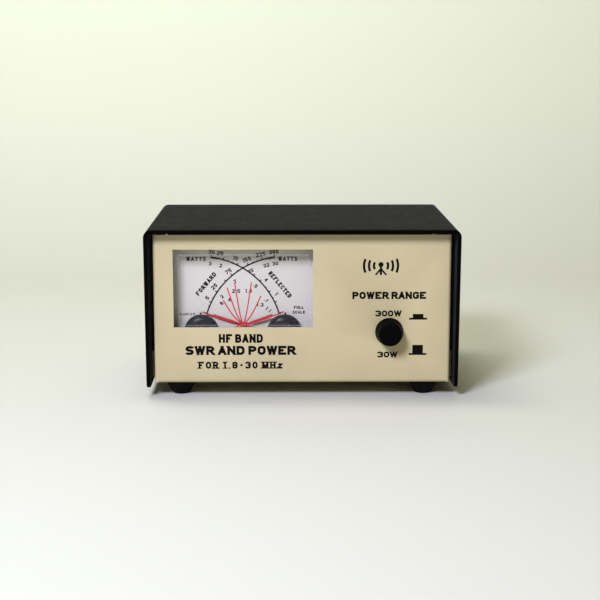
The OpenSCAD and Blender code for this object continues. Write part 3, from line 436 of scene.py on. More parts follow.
def tool_rod(centre, r, length, axis="Y", segments=48):
    bm = bmesh.new()
    lathe(bm, [(0, 0), (r, 0), (r, length), (0, length)], centre, axis, segments)
    return bm


def crossed_slots(x, z, y0, y1, reach, half):
    """Cutters for two crossed slots along Y."""
    return [tool_box((x - a, y0, z - b), (x + a, y1, z + b)) for a, b in ((reach, half), (half, reach))]


def stroke(bm, points, width, y, raise_by=INK, facing=-1, square=None):
    """A thin raised line with mitred corners through x, z points on a vertical face; it may close on itself.

    Square is a pair of flags, each lengthening one end by half the width.
    """
    closed = len(points) > 3 and (Vector(points[0]) - Vector(points[-1])).length < 1e-6
    pts = [Vector(p) for p in (points[:-1] if closed else points)]
    count = len(pts)
    if square and not closed:
        first, last = (pts[0] - pts[1]).normalized(), (pts[-1] - pts[-2]).normalized()
        pts[0] += first * width / 2 * square[0]
        pts[-1] += last * width / 2 * square[1]
    rings = []
    for i, p in enumerate(pts):
        before = pts[i - 1] if i or closed else None
        after = pts[(i + 1) % count] if i < count - 1 or closed else None
        d1 = (p - before).normalized() if before is not None else (after - p).normalized()
        d2 = (after - p).normalized() if after is not None else d1
        n1, n2 = Vector((-d1.y, d1.x)), Vector((-d2.y, d2.x))
        mid = n1 + n2
        mid = mid.normalized() if mid.length > 1e-6 else n1
        reach = width / 2 / max(0.5, mid.dot(n1))
        corners = ((p + mid * reach, 0), (p - mid * reach, 0), (p - mid * reach, 1), (p + mid * reach, 1))
        rings.append([bm.verts.new((q.x, y + facing * raise_by * up, q.y)) for q, up in corners])
    for i in range(count if closed else count - 1):
        bridge(bm, rings[i], rings[(i + 1) % count])
    if not closed:
        bm.faces.new(rings[0])
        bm.faces.new(rings[-1][::-1])


# Letters on a grid, as lines of points, x then y. "r" rounds a corner, "/" starts a new line, and "!" makes a
# straight bar whose ends are cut level, as on the slanted strokes of A, N or W.
LETTERS = {
    "A": "!00 26/!26 40/0.9,1.7 3.1,1.7", "B": "00 06 3.7,6r 3.7,3r 03/23 43r 40r 00",
    "C": "44.4 46r 06r 00r 40r 41.6", "D": "00 06 46r 40r 00", "E": "46 06 00 40/03 33",
    "F": "46 06/!06 00/03 33", "G": "44.4 46r 06r 00r 40r 42.8 2.3,2.8", "H": "!00 06/!40 46/03 43",
    "I": "!00 06", "L": "!06 00/00 40", "M": "!00 06/!06 2.5,0/!2.5,0 56/!50 56",
    "N": "!00 06/!06 40/!40 46", "O": "06r 46r 40r 00r 06r", "P": "!00 06/06 46r 42.8r 02.8",
    "R": "!00 06/06 46r 42.8r 02.8/!22.8 40", "S": "45 46r 06r 03r 43r 40r 00r 01", "T": "06 46/!20 26",
    "U": "06 00r 40r 46", "V": "!06 20/!20 46", "W": "!06 1.4,0/!1.4,0 2.8,6/!2.8,6 4.2,0/!4.2,0 5.6,6",
    "z": "04 3.5,4/!00 3.5,4/00 3.5,0", "0": "06r 3.6,6r 3.6,0r 00r 06r", "1": "!1.4,0 1.4,6/1.4,6 04.8",
    "2": "04.4 06r 46r 43r 00/00 40", "3": "04.6 06r 46r 43r 1.6,3/2.6,3 43r 40r 00r 01.4",
    "4": "!30 36/36 02 42", "5": "46 06 03.4 43.4r 40r 00r 01.2", "6": "44.6 46r 06r 00r 40r 43.3r 03.3",
    "7": "06 46/!46 10", "8": "06r 46r 43r 03r 06r/03r 43r 40r 00r 03r",
    "9": "01.4 00r 40r 46r 06r 02.7r 42.7",
    ".": "1,0 1,0.3", "-": "03 2.6,3", "/": "!00 36", " ": "",
}
GRID_H, SPACE, LETTER_CORNER = 6, 1.2, 2.1
SERIF_REACH, SERIF_LINE, SERIF_SHIFT = 1.25, 0.6, 0.2


def letter_lines(letter):
    """The letter's lines as lists of (x, y, rounded), each with its level-cut mark, and its grid width."""
    lines = []
    for line in LETTERS[letter].split("/"):
        points = []
        for word in line.lstrip("!").split():
            round_it = word.endswith("r")
            word = word.rstrip("r")
            x, y = word.split(",") if "," in word else (word[0], word[1:])
            points.append((float(x), float(y), round_it))
        if points:
            lines.append((points, line.startswith("!")))
    return lines, max([p[0] for points, _ in lines for p in points], default=SPACE)


def rounded_line(points, radius, steps=5):
    """Replaces the corners marked for rounding by short curves."""
    closed = points[0][:2] == points[-1][:2] and len(points) > 3
    ring = points[:-1] if closed else points
    made = []
    for i, (x, y, round_it) in enumerate(ring):
        if not round_it:
            made.append((x, y))
            continue
        p = Vector((x, y))
        before, after = Vector(ring[i - 1][:2]), Vector(ring[(i + 1) % len(ring)][:2])
        a = p + (before - p).normalized() * min(radius, (before - p).length * 0.49)
        b = p + (after - p).normalized() * min(radius, (after - p).length * 0.49)
        bow = 0.55
        c1, c2 = a + (p - a) * bow, b + (p - b) * bow
        for k in range(steps + 1):
            t = k / steps
            u = 1 - t
            made.append(tuple(a * u ** 3 + c1 * 3 * t * u ** 2 + c2 * 3 * t * t * u + b * t ** 3))
    return made + [made[0]] if closed else made


def level_bar(a, b, line):
    """The outline of a bar from a to b whose ends are level and reach half a line further."""
    low, high = sorted((Vector(a), Vector(b)), key=lambda p: p.y)
    along = high - low
    wide = line / 2 * along.length / along.y
    more = along / along.y * line / 2
    low, high = low - more, high + more
    return [(low.x - wide, low.y), (low.x + wide, low.y), (high.x + wide, high.y), (high.x - wide, high.y)]


def lettering(bm, text, size, x, y, z, width=None, angle=0, line=None, serif=False, facing=-1, gap=0.14):
    """Raised letters on a vertical face with their middle at x, z. Size is the capital height over all."""
    line = line or size * 0.2
    drawn = [letter_lines(letter) for letter in text]
    grid = sum(w for _, w in drawn)
    rise, space = (size - line) / GRID_H, size * gap
    cap = GRID_H / 2 * rise
    inked = [line if lines else 0 for lines, _ in drawn]
    fixed = sum(inked) + space * (len(text) - 1)
    pitch = (width - fixed) / grid if width else rise * 0.92
    start = -(grid * pitch + fixed) / 2
    ca, sa = math.cos(math.radians(angle)), math.sin(math.radians(angle))

    def place(points):
        return [(x - facing * (u * ca - w * sa), z + u * sa + w * ca) for u, w in points]

    def add_serifs(flat, height):
        """Short feet across a line's ends on the base or the cap line."""
        for end, (px, pz) in enumerate((flat[0], flat[-1])):
            if abs(abs(pz) - cap) < 0.01:
                foot_z = math.copysign(cap + line * SERIF_SHIFT, pz)
                foot = place([(px - SERIF_REACH * line, foot_z), (px + SERIF_REACH * line, foot_z)])
                stroke(bm, foot, line * SERIF_LINE, y, height + INK * 0.03 * (end + 1), facing)

    for (lines, wide), own in zip(drawn, inked):
        for number, (points, level) in enumerate(lines):
            flat = [(start + line / 2 + px * pitch, (py - GRID_H / 2) * rise)
                    for px, py in rounded_line(points, LETTER_CORNER)]
            height = INK * (1 + 0.07 * number)
            if level:
                prism(bm, place(level_bar(flat[0], flat[-1], line)), y, y + facing * height)
            else:
                ends = [points[i][1] in (0, GRID_H) for i in (0, -1)]
                stroke(bm, place(flat), line, y, height, facing, square=ends)
            if serif and max(v for _, v in flat) - min(v for _, v in flat) > rise:
                add_serifs(flat, height)
        start += wide * pitch + own + space


# ---- case


def cover_section(inset):
    """The cover's cross-section as x, z points, from its lower right edge round to its lower left."""
    w, low, top = COVER_HI.x, COVER_LO.z, COVER_HI.z
    round_top = low + COVER_CORNER
    side = [low + COVER_CORNER * (1 - math.cos(math.radians(a))) for a in (0, 25, 45, 60, 75, 90)]
    side += [round_top + (top - COVER_BEND - round_top) * t for t in (0.25, 0.5, 0.75)]
    right = [(w - inset, z) for z in side]
    right += arc(w - COVER_BEND, top - COVER_BEND, COVER_BEND - inset, 0, 90, 14)
    flat = [(x, top - inset) for x in (40, 0, -40)]
    return right + flat + [(-x, z) for x, z in right][::-1]


def cover_setback(z):
    """How far the leaning front and rear edges, with their round lower corners, stand back at height z."""
    slope = COVER_LEAN * (COVER_HI.z - z) / (COVER_HI.z - COVER_LO.z)
    below = max(0.0, COVER_LO.z + COVER_CORNER - z)
    return slope + COVER_CORNER - math.sqrt(max(0.0, COVER_CORNER ** 2 - below ** 2))


def cover_shell():
    """One bent sheet: a grid along its cross-section and depth, outside and inside, with screw holes."""
    depth_steps = 10
    bm = bmesh.new()
    grids = []
    for points in (cover_section(0), cover_section(COVER_T)):
        rows = []
        for x, z in points:
            y0, y1 = COVER_LO.y + cover_setback(z), COVER_HI.y - cover_setback(z)
            rows.append([bm.verts.new((x, y0 + (y1 - y0) * k / depth_steps, z))
                         for k in range(depth_steps + 1)])
        grids.append(rows)
    n = len(grids[0])
    for rows in grids:
        for i in range(n - 1):
            for k in range(depth_steps):
                bm.faces.new((rows[i][k], rows[i + 1][k], rows[i + 1][k + 1], rows[i][k + 1]))
    outer, inner = grids
    for k in (0, depth_steps):
        bridge(bm, [row[k] for row in outer], [row[k] for row in inner], closed=False)
    for i in (0, n - 1):
        bridge(bm, outer[i], inner[i], closed=False)
    bmesh.ops.recalc_face_normals(bm, faces=bm.faces)
    places, z = cover_screw_places()
    bm = cut(bm, [tool_rod((side * COVER_HI.x - 3, y, z), 1.7, 6, "X") for side in (-1, 1) for y in places])
    bevel_sharp(bm, 0.35, 3, 50)
    finish_piece("cover_shell", bm, "cover_paint", sharp=50, replaces=["cover"])


def chassis_profile():
    """Front panel, floor and rear panel as y, z points, with the bends between them."""
    r, t, floor, top = BEND_R, SHEET_T, CHASSIS_LO.z, CHASSIS_HI.z
    front, back = PANEL_Y + r, BACK_Y - r
    outside = arc(front, floor + r, r, 180, 270, 8) + arc(back, floor + r, r, 270, 360, 8)
    inside = arc(back, floor + r, r - t, 360, 270, 8) + arc(front, floor + r, r - t, 270, 180, 8)
    return [(PANEL_Y, top)] + outside + [(BACK_Y, top), (BACK_Y - t, top)] + inside + [(PANEL_Y + t, top)]


def chassis_holes():
    """Cutters for the window, the button, the rear sockets and jack, and the screws through the floor."""
    below = CHASSIS_LO.z - 1
    tools = [tool_box((WINDOW_X - WINDOW_W / 2, PANEL_Y - 1, WINDOW_Z0),
                      (WINDOW_X + WINDOW_W / 2, PANEL_Y + 2, WINDOW_Z0 + WINDOW_H)),
             tool_rod((BUTTON_X, PANEL_Y - 1, BUTTON_Z), 7.5, 3, "Y", 64)]
    for node in SOCKETS:
        c = centre_mm(node)
        tools.append(tool_rod((c.x, BACK_Y - 2, c.z), 8, 3))
        tools += [tool_rod((x, BACK_Y - 2, z), 1.6, 3, segments=24) for x, z in socket_screw_places(c)]
    jack = centre_mm("dc_jack_body")
    tools.append(tool_rod((jack.x, BACK_Y - 2, jack.z), 4.1, 3))
    tools += [tool_rod((x, y, below), 1.55, 3, "Z", 24) for x, y in foot_places()]
    lo, hi = box_mm("switch_screws")
    tools += [tool_rod((x, hi.y - SWITCH_SCREW_HEAD_R, below), 1.45, 3, "Z", 24)
              for x in (lo.x + SWITCH_SCREW_HEAD_R, hi.x - SWITCH_SCREW_HEAD_R)]
    return tools


def soften_sheet(bm):
    """Rounds a sheet's edges, except where it meets its side returns."""
    bevel_sharp(bm, 0.22, 2, 50, lambda e: all(abs(abs(v.co.x) - SEAM_X) < 0.01 for v in e.verts))


def side_return(side, y_face, into):
    """The narrow fold behind one end of the front or rear panel."""
    r, t, depth, lift = BEND_R, SHEET_T, 10, 0.35
    strip = arc(0, 0, r, 270, 360, 8) + [(r, depth - r), (r - t, depth - r)] + arc(0, 0, r - t, 360, 270, 8)
    part = bmesh.new()
    outline = [(side * (SEAM_X + a), y_face + into * (r + b)) for a, b in strip]
    prism(part, outline, CHASSIS_LO.z + lift, CHASSIS_HI.z, "XY")
    soften_sheet(part)
    return part


def side_flange(side):
    """The upright fold along one side of the floor, which the cover screws hold."""
    r, t, floor, top, end = BEND_R, SHEET_T, CHASSIS_LO.z, 22, 12
    bend_x, root = CHASSIS_HALF - r, SEAM_X - 2
    strip = [(root, floor)] + arc(bend_x, floor + r, r, 270, 360, 8)
    strip += [(CHASSIS_HALF, top), (CHASSIS_HALF - t, top)]
    strip += arc(bend_x, floor + r, r - t, 360, 270, 8) + [(root, floor + t)]
    part = bmesh.new()
    prism(part, [(side * x, z) for x, z in strip], PANEL_Y + end, BACK_Y - end)
    places, z = cover_screw_places()
    part = cut(part, [tool_rod((side * CHASSIS_HALF - 2, y, z), 1.55, 4, "X", 24) for y in places])
    bevel_sharp(part, 0.2, 2, 50)
    return part


def chassis_sheet():
    """Front panel, floor and rear panel folded from one sheet, with side returns and flanges."""
    bm = bmesh.new()
    prism(bm, chassis_profile(), -SEAM_X, SEAM_X, "YZ")
    bm = cut(bm, chassis_holes())
    soften_sheet(bm)
    for y_face, into in ((PANEL_Y, 1), (BACK_Y, -1)):
        for side in (-1, 1):
            join(bm, side_return(side, y_face, into))
    for side in (-1, 1):
        join(bm, side_flange(side))
    finish_piece("chassis_sheet", bm, "panel_paint", sharp=40, replaces=["chassis"])


def join(bm, part):
    """Adds another bmesh's faces to bm and frees it."""
    bmesh.ops.recalc_face_normals(part, faces=part.faces)
    mesh = to_mesh(part, "part")
    bm.from_mesh(mesh)
    bpy.data.meshes.remove(mesh)


def pan_screw(bm, head, direction, head_r, head_h, axis="Y"):
    """A screw with a domed cross head along direction. Head is where the head's underside is."""
    d, shank_r, length = direction, 1.5, 7
    profile = [(0, -length * d), (shank_r * 0.6, -length * d), (shank_r, (-length + 0.6) * d), (shank_r, 0),
               (head_r, 0), (head_r, head_h * 0.45 * d), (head_r * 0.86, head_h * 0.82 * d),
               (head_r * 0.55, head_h * d), (0, head_h * d)]
    part = bmesh.new()
    lathe(part, rounded(profile, 0.35, 3), head, axis, 32)
    c, x_way, y_way, z_way = Vector(head), Vector((1, 0, 0)), Vector((0, 1, 0)), Vector((0, 0, 1))
    along, flat = (x_way, y_way) if axis == "X" else (y_way, x_way)
    reach, half_w = head_r * 0.55, head_r * 0.13
    slots = []
    for a, b in ((flat, z_way), (z_way, flat)):
        lo = c + along * d * head_h * 0.35 - a * reach - b * half_w
        hi = c + along * d * head_h * 1.5 + a * reach + b * half_w
        slots.append(tool_box([min(p, q) for p, q in zip(lo, hi)], [max(p, q) for p, q in zip(lo, hi)]))
    join(bm, cut(part, slots))


def cover_screw_set():
    bm = bmesh.new()
    places, z = cover_screw_places()
    for side in (-1, 1):
        for y in places:
            pan_screw(bm, (side * (COVER_HI.x + 0.05), y, z), side, COVER_SCREW_HEAD_R, 1.8, "X")
    finish_piece("cover_screw_set", bm, "black_screw", sharp=30, replaces=["cover_screws"])


def foot_set():
    """Conical moulded feet with a flat land under the chassis and a screw recess."""
    bm = bmesh.new()
    h, top = box_mm("feet")[1].z, FOOT_R
    profile = [(1.7, h), (top, h), (top, h - 0.9), (4.75, 0.7), (4.2, 0), (3.2, 0), (3.2, 4.5), (1.7, 4.5)]
    for x, y in foot_places():
        lathe(bm, rounded(profile, 0.5, 4), (x, y, 0), "Z", 56, closed=True)
    finish_piece("foot_set", bm, "foot_rubber", sharp=60, replaces=["feet"])


# ---- panel lettering


def panel_print():
    """Plain black labels on the front panel. The names are generic."""
    bm = bmesh.new()
    y = PANEL_Y
    lettering(bm, "HF BAND", 4.7, WINDOW_X - 1.4, y, 31.6, width=23.3, line=1.2, gap=0.1)
    lettering(bm, "SWR AND POWER", 4.9, WINDOW_X - 1.6, y, 25.1, width=58.2, line=1.38, gap=0.11)
    lettering(bm, "FOR 1.8-30 MHz", 3.8, WINDOW_X - 1.7, y, 17.1, width=44.4, line=0.98, serif=True, gap=0.24)
    lettering(bm, "POWER RANGE", 3.9, BUTTON_X - 0.3, y, 54.6, width=38.8, line=1.08, gap=0.1)
    lettering(bm, "300W", 3.2, BUTTON_X - 0.6, y, 44.9, width=13.8, line=0.86, gap=0.1)
    lettering(bm, "30W", 3.2, BUTTON_X - 0.9, y, 22.7, width=10.7, line=0.86, gap=0.1)
    symbol_x = BUTTON_X + 15.1
    for base, cap in ((42.05, 44.6), (22.95, 27.9)):
        middle = (base + cap) / 2
        stroke(bm, [(symbol_x - 4.7, base), (symbol_x + 4.7, base)], 1.0, y)
        stroke(bm, [(symbol_x - 2.8, middle), (symbol_x + 2.8, middle)], cap - base, y, INK * 1.1)
    antenna_mark(bm, BUTTON_X - 4.8, 69.4, y)
    finish_piece("panel_print", bm, BLACK_INK, sharp=30)


def antenna_mark(bm, x, z, y):
    """A generic aerial: a mast with a splayed foot and pairs of wave arcs."""
    stroke(bm, [(x, z - 3.9), (x, z + 1.4)], 1.2, y)
    stroke(bm, [(x - 2.8, z - 3.9), (x, z - 0.6), (x + 2.8, z - 3.9)], 0.9, y, INK * 1.08)
    prism(bm, arc(x, z + 1.6, 1.35, 0, 345, 22), y, y - INK * 1.16)
    for number, r in enumerate((3.7, 6.3, 8.9)):
        spread = 30 - 3 * number
        for start in (-spread, 180 - spread):
            stroke(bm, arc(x, z + 1.0, r, start, start + 2 * spread, 16), 1.25, y)


def rear_print():
    bm = bmesh.new()
    tx, ant, jack = (centre_mm(node) for node in (*SOCKETS, "dc_jack_body"))
    for text, size, place, z, width in (("TRANSMITTER", 3.0, tx, 68.5, 27), ("ANTENNA", 3.0, ant, 68.5, 17.5),
                                        ("12 V DC", 2.8, jack, 60, 14), ("LAMP", 2.8, jack, 41, 9.5)):
        lettering(bm, text, size, place.x, BACK_Y, z, width=width, facing=1)
    finish_piece("rear_print", bm, BLACK_INK, sharp=30)


# ---- dial

REST, SWING, ARC_R = 17.0, 66.0, 43.2
FORWARD_FULL, REFLECTED_FULL = 300.0, 30.0


def on_forward(fraction, r):
    """The point at radius r along the forward needle when it shows that fraction of full scale."""
    a = math.radians(REST + SWING * fraction)
    return FORWARD_X - r * math.cos(a), PIVOT_Z + r * math.sin(a)


def on_reflected(fraction, r):
    x, z = on_forward(fraction, r)
    return 2 * DIAL_X - x, z


def crossing(forward, reflected):
    """Where the two needles cross at these fractions."""
    a, b = math.radians(REST + SWING * forward), math.radians(REST + SWING * reflected)
    span = FORWARD_X - REFLECTED_X
    r = span * math.sin(b) / math.sin(a + b)
    return FORWARD_X - r * math.cos(a), PIVOT_Z + r * math.sin(a)


def scale_lines(bm):
    y = DIAL_Y
    short, middling, full = 0.675, 1.2, 1.5
    ticks = {0: middling, 5: middling, 20: middling, 50: middling, 75: middling, 150: middling, 225: middling,
             300: full}
    for place in (on_forward, on_reflected):
        stroke(bm, [place(i / 60, ARC_R) for i in range(61)], 0.8, y)
        for watts in (0, 2, 5, 10, 20, 30, 50, 75, 100, 125, 150, 175, 200, 225, 250, 275, 300):
            f = math.sqrt(watts / FORWARD_FULL)
            end = place(f, ARC_R + ticks.get(watts, short))
            stroke(bm, [place(f, ARC_R - 0.35), end], 0.62, y, INK * 1.1)
        stroke(bm, [place(0.93, ARC_R), place(1, ARC_R)], 1.1, y, INK * 1.2)


def scale_numbers(bm):
    """Each row: the needle's arc, its side, full scale, radius, letter size, and values with their texts."""
    outside, inside = ARC_R + 3.0, ARC_R - 3.4
    rows = (
        (on_forward, 1, 300, outside, 2.2,
         ((7, "5"), (25, "25"), (75, "75"), (155, "150"), (225, "225"), (300, "300"))),
        (on_forward, 1, 30, inside, 2.0, ((1.8, "2"), (7, "7"), (15, "15"), (24, "22"), (30, "30"))),
        (on_reflected, -1, 30, outside, 2.2, ((1.2, "1"), (4.2, "4"), (17, "15"), (25, "25"), (30, "30"))),
        (on_reflected, -1, 3, inside, 2.0, ((0.12, ".1"), (0.5, ".5"), (2.3, "2"), (3, "3"))),
    )
    for place, side, full, r, size, numbers in rows:
        for value, text in numbers:
            f = math.sqrt(value / full)
            x, z = place(f, r)
            lean = (90 - (REST + SWING * f)) * 0.8
            lettering(bm, text, size, x, DIAL_Y, z, angle=side * lean, line=size * 0.25)


def dial_print():
    """Black print: the two power scales, their numbers and names."""
    bm = bmesh.new()
    y = DIAL_Y
    scale_lines(bm)
    scale_numbers(bm)
    lettering(bm, "WATTS", 2.3, DIAL_X - 24.7, y, 72.7, width=10.6, line=0.62)
    lettering(bm, "WATTS", 2.3, DIAL_X + 23.9, y, 72.7, width=10.2, line=0.62)
    lettering(bm, "FORWARD", 2.5, DIAL_X - 19.6, y, 59.2, width=15.2, angle=50, line=0.72)
    lettering(bm, "REFLECTED", 2.5, DIAL_X + 19.8, y, 58.8, width=17.4, angle=-50.5, line=0.72)
    for side in (-1, 1):
        prism(bm, arc(DIAL_X + side * 22.6, 43.2, 0.55, 0, 340, 17), y, y - INK)
    labels = (("8", -11.4, 48.7, 62), ("4", -7.2, 50.6, 8), ("2.5", -3.6, 55.3, 0),
              ("1.6", 3.0, 55.4, 0), ("1.3", 9.1, 48.0, -8), ("1.1", 13.4, 45.3, -38))
    for text, dx, z, lean in labels:
        lettering(bm, text, 2.1, DIAL_X + dx, y, z, angle=lean, line=0.5)
    lettering(bm, "CLASS 2.5", 1.3, DIAL_X - 29.9, y, 42.9, line=0.3)
    for row, text in enumerate(("FULL", "SCALE")):
        lettering(bm, text, 1.6, DIAL_X + 29.8, y, 46.4 - 2.6 * row, line=0.46)
    finish_piece("dial_print", bm, BLACK_INK, sharp=30)


def swr_curves():
    """Red curves of equal SWR, from where the needles rest, worked out from the two scales."""
    bm = bmesh.new()
    y = DIAL_Y
    ratio = math.sqrt(FORWARD_FULL / REFLECTED_FULL)
    for swr, reach in ((1.3, 0.66), (1.6, 0.64), (2.5, 0.47), (4.0, 0.365), (40.0, 0.215)):
        gamma = (swr - 1) / (swr + 1)
        points = [crossing(reach * i / 24, ratio * gamma * reach * i / 24) for i in range(25)]
        stroke(bm, points, 0.66, y, INK * (1 + swr / 60))
    for place in (on_forward, on_reflected):
        stroke(bm, [place(0, ARC_R - 0.6), place(0, ARC_R + 2.6)], 0.8, y)
    focus_x, focus_z = crossing(0, 0)
    blob = [(focus_x + 3.6 * math.cos(math.radians(a)), focus_z - 0.2 + 1.5 * math.sin(math.radians(a)))
            for a in range(0, 360, 12)]
    prism(bm, blob, y, y - INK * 0.8)
    wedge = ((3, 38.0), (9, 40.6), (15.5, 42.9), (16, 42.2), (10, 39.4), (4, 37.2))
    for side in (-1, 1):
        prism(bm, [(DIAL_X + side * dx, z) for dx, z in wedge[::side]], y, y - INK * 0.7)
    finish_piece("swr_curves", bm, RED_INK, sharp=30)


# ---- movements


def needle_piece(name, node, body, side):
    """A flat lance needle with its hub and tail weight. Side is 1 for the right-hand pivot."""
    lo, hi = box_mm(node)
    y = (lo.y + hi.y) / 2
    pivot_x = FORWARD_X if side > 0 else REFLECTED_X
    ca, sa = math.cos(math.radians(REST)), math.sin(math.radians(REST))

    def turned(points):
        return [(pivot_x - side * (u * ca - v * sa), PIVOT_Z + u * sa + v * ca) for u, v in points]

    tail = 5
    reach = (hi.x - lo.x - tail * ca) / ca
    blade = [(-tail, 0.5), (0, 0.5), (20, 0.26), (26, 0.28), (29.5, 0.66), (36, 0.66), (39, 0.3),
             (reach - 0.1, 0.18)]
    bm = bmesh.new()
    prism(bm, turned(blade + [(u, -v) for u, v in blade[::-1]]), y - 0.15, y + 0.15)
    bevel_sharp(bm, 0.05, 1, 50)
    hub = rounded([(0.42, -0.5), (1.7, -0.5), (1.7, 0.5), (0.42, 0.5)], 0.2, 3)
    lathe(bm, hub, (pivot_x, y, PIVOT_Z), "Y", 40, closed=True)
    weight = rounded([(0, -0.5), (0.9, -0.5), (0.9, 0.5), (0, 0.5)], 0.2, 3)
    (x, z), = turned([(-4.1, 0)])
    lathe(bm, weight, (x, y, z), "Y", 24)
    finish_piece(name, bm, "needle_red", body, sharp=40, replaces=[node])


def pivot_cap(name, node, pivot_x):
    """A low glossy hood over the pivot, open in the middle, on two short legs."""
    z, leg_z = PIVOT_Z + 3.3, PIVOT_Z - 1.4
    outer = [(9.3, -2.6), (9.15, -3.4), (8.5, -4.5), (7.4, -5.3), (6.2, -5.75), (5.4, -5.9)]
    inner = [(5.4, -5.1), (6.3, -4.9), (7.2, -4.4), (8.0, -3.6), (8.45, -2.6)]
    bm = bmesh.new()
    lathe(bm, rounded(outer + inner, 0.35, 3), (pivot_x, DIAL_Y, z), "Y", 72, closed=True)
    bm = cut(bm, [tool_box((pivot_x - 12, DIAL_Y - 8, PIVOT_Z - 12), (pivot_x + 12, DIAL_Y + 1, leg_z))])
    half = 0.8
    for x in (pivot_x - 7.6, pivot_x + 7.6):
        part = bmesh.new()
        add_box(part, (x - half, DIAL_Y - 3.2, leg_z), (x + half, DIAL_Y - 0.05, PIVOT_Z + 0.6))
        bevel_sharp(part, 0.15, 2)
        join(bm, part)
    finish_piece(name, bm, "black_plastic", sharp=40, replaces=[node])


def lens():
    """The clear cover plate, with two screw ears on each side."""
    ear, ear_half, corner = 4.3, 4, 1.2
    y0, y1 = LENS_LO.y, LENS_HI.y
    x0, x1, z0, z1 = LENS_LO.x + ear, LENS_HI.x - ear, LENS_LO.z, LENS_HI.z
    left, right, low, high = x0 + corner, x1 - corner, z0 + corner, z1 - corner
    outline = arc(right, low, corner, 270, 360, 5) + arc(right, high, corner, 0, 90, 5) \
        + arc(left, high, corner, 90, 180, 5) + arc(left, low, corner, 180, 270, 5)
    bm = bmesh.new()
    prism(bm, outline, y0, y1)
    for x, side in ((x0, -1), (x1, 1)):
        inner, outer = x - side * 0.02, x + side * ear
        for z in (26, 76):
            part = bmesh.new()
            add_box(part, (min(inner, outer), y0, z - ear_half), (max(inner, outer), y1, z + ear_half))
            join(bm, cut(part, [tool_rod((x + side * ear / 2, y0 - 1, z), 1.4, 4, "Y", 28)]))
    bevel_sharp(bm, 0.15, 2, 60)
    finish_piece("lens", bm, "clear_window", sharp=30, replaces=["meter_window"])


def lens_rim():
    """The moulded ridge that frames the view just inside the panel's cut-out."""
    bm = bmesh.new()
    x0, x1, z0, z1 = WINDOW_X - 34.0, WINDOW_X + 34.3, 38.4, 76.0
    stroke(bm, [(x0, z0), (x1, z0), (x1, z1), (x0, z1), (x0, z0)], 0.7, LENS_LO.y, 0.35)
    bevel_sharp(bm, 0.12, 2, 60)
    finish_piece("lens_rim", bm, LENS_RIM, sharp=30)


# ---- button


def button_cap():
    """A tapered round cap with a soft edge, a shallow dish in its face and a square socket in its back."""
    length = BUTTON_HI.y - BUTTON_LO.y
    profile = [(0, 0.30), (3.2, 0.26), (4.4, 0.10), (4.9, 0.0), (5.6, 0.15), (6.05, 0.75), (6.25, 1.9),
               (6.75, 5.6), (7.1, 8.3), (7.15, 8.6), (7.15, length), (0, length)]
    bm = bmesh.new()
    lathe(bm, rounded(profile, 0.6, 5), (BUTTON_X, BUTTON_LO.y, BUTTON_Z), "Y", 96)
    room_depth, past = 4.2, 1
    spring_room = bmesh.new()
    ring = [(3.1, 0), (4.15, 0), (4.15, room_depth + past), (3.1, room_depth + past)]
    lathe(spring_room, ring, (BUTTON_X, BUTTON_HI.y - room_depth, BUTTON_Z), "Y", 64, closed=True)
    half = 2.05
    socket = tool_box((BUTTON_X - half, PANEL_Y - 2, BUTTON_Z - half),
                      (BUTTON_X + half, BUTTON_HI.y + past, BUTTON_Z + half))
    bm = cut(bm, [socket, spring_room])
    finish_piece("button_cap", bm, "button_black", "range_switch", sharp=45, replaces=["range_button"])


# ---- rear connectors

BARREL_SIDES = 72


def thread(ring, y0, y1, r):
    """Rings from a thread's flange face to its mouth, where ring(radii, y) makes one ring."""
    pitch, depth, per_turn = 1.058, 0.55, 8
    steps = max(4, int((y1 - y0) / pitch * per_turn))
    rows = []
    for i in range(steps + 1):
        y = y0 + (y1 - y0) * i / steps
        fade = min(1.0, i / per_turn, (steps - i) / per_turn)
        radii = []
        for k in range(BARREL_SIDES):
            tooth = abs(2 * (((y - y0) / pitch + k / BARREL_SIDES) % 1.0) - 1)
            radii.append(r - depth * (1 - min(1.0, tooth * 1.5)) * fade - (0.25 if i == steps else 0))
        rows.append(ring(radii, y))
    return rows


def connector_shell(name, node):
    """A UHF-type chassis socket: square flange with four holes and a threaded barrel with a notched mouth."""
    lo, hi = box_mm(node)
    c = centre_mm(node)
    x, z = c.x, c.z
    face, r, bore, back_bore = BACK_Y + 1.6, 7.94, 6.0, 7.7
    bm = bmesh.new()

    def ring(radii, y):
        angles = [2 * math.pi * k / BARREL_SIDES for k in range(BARREL_SIDES)]
        return [bm.verts.new((x + radius * math.cos(a), y, z + radius * math.sin(a)))
                for radius, a in zip(radii, angles)]

    def plain(radius, y):
        return ring([radius] * BARREL_SIDES, y)

    rows = thread(ring, face + 1.2, hi.y, r)
    hole = [plain(r - 1.0, hi.y), plain(bore + 0.3, hi.y), plain(bore, hi.y - 0.3), plain(bore, lo.y),
            plain(back_bore, lo.y), plain(back_bore, face - 0.8)]
    loop = [plain(r, face - 0.8)] + rows + hole
    for a, b in zip(loop, loop[1:] + loop[:1]):
        bridge(bm, a, b)
    bm = cut(bm, crossed_slots(x, z, hi.y - 1.1, hi.y + 1, 9, 0.9))
    flange = bmesh.new()
    half = (hi.x - lo.x) / 2
    add_box(flange, (x - half, BACK_Y + 0.05, z - half), (x + half, face, z + half))
    tools = [tool_rod((a, BACK_Y - 1, b), 1.6, 4, segments=28) for a, b in socket_screw_places(c)]
    tools.append(tool_rod((x, BACK_Y - 1, z), 7.6, 4, segments=72))
    flange = cut(flange, tools)
    bevel_sharp(flange, 0.25, 2, 50)
    join(bm, flange)
    finish_piece(name, bm, "nickel", sharp=32, replaces=[node])


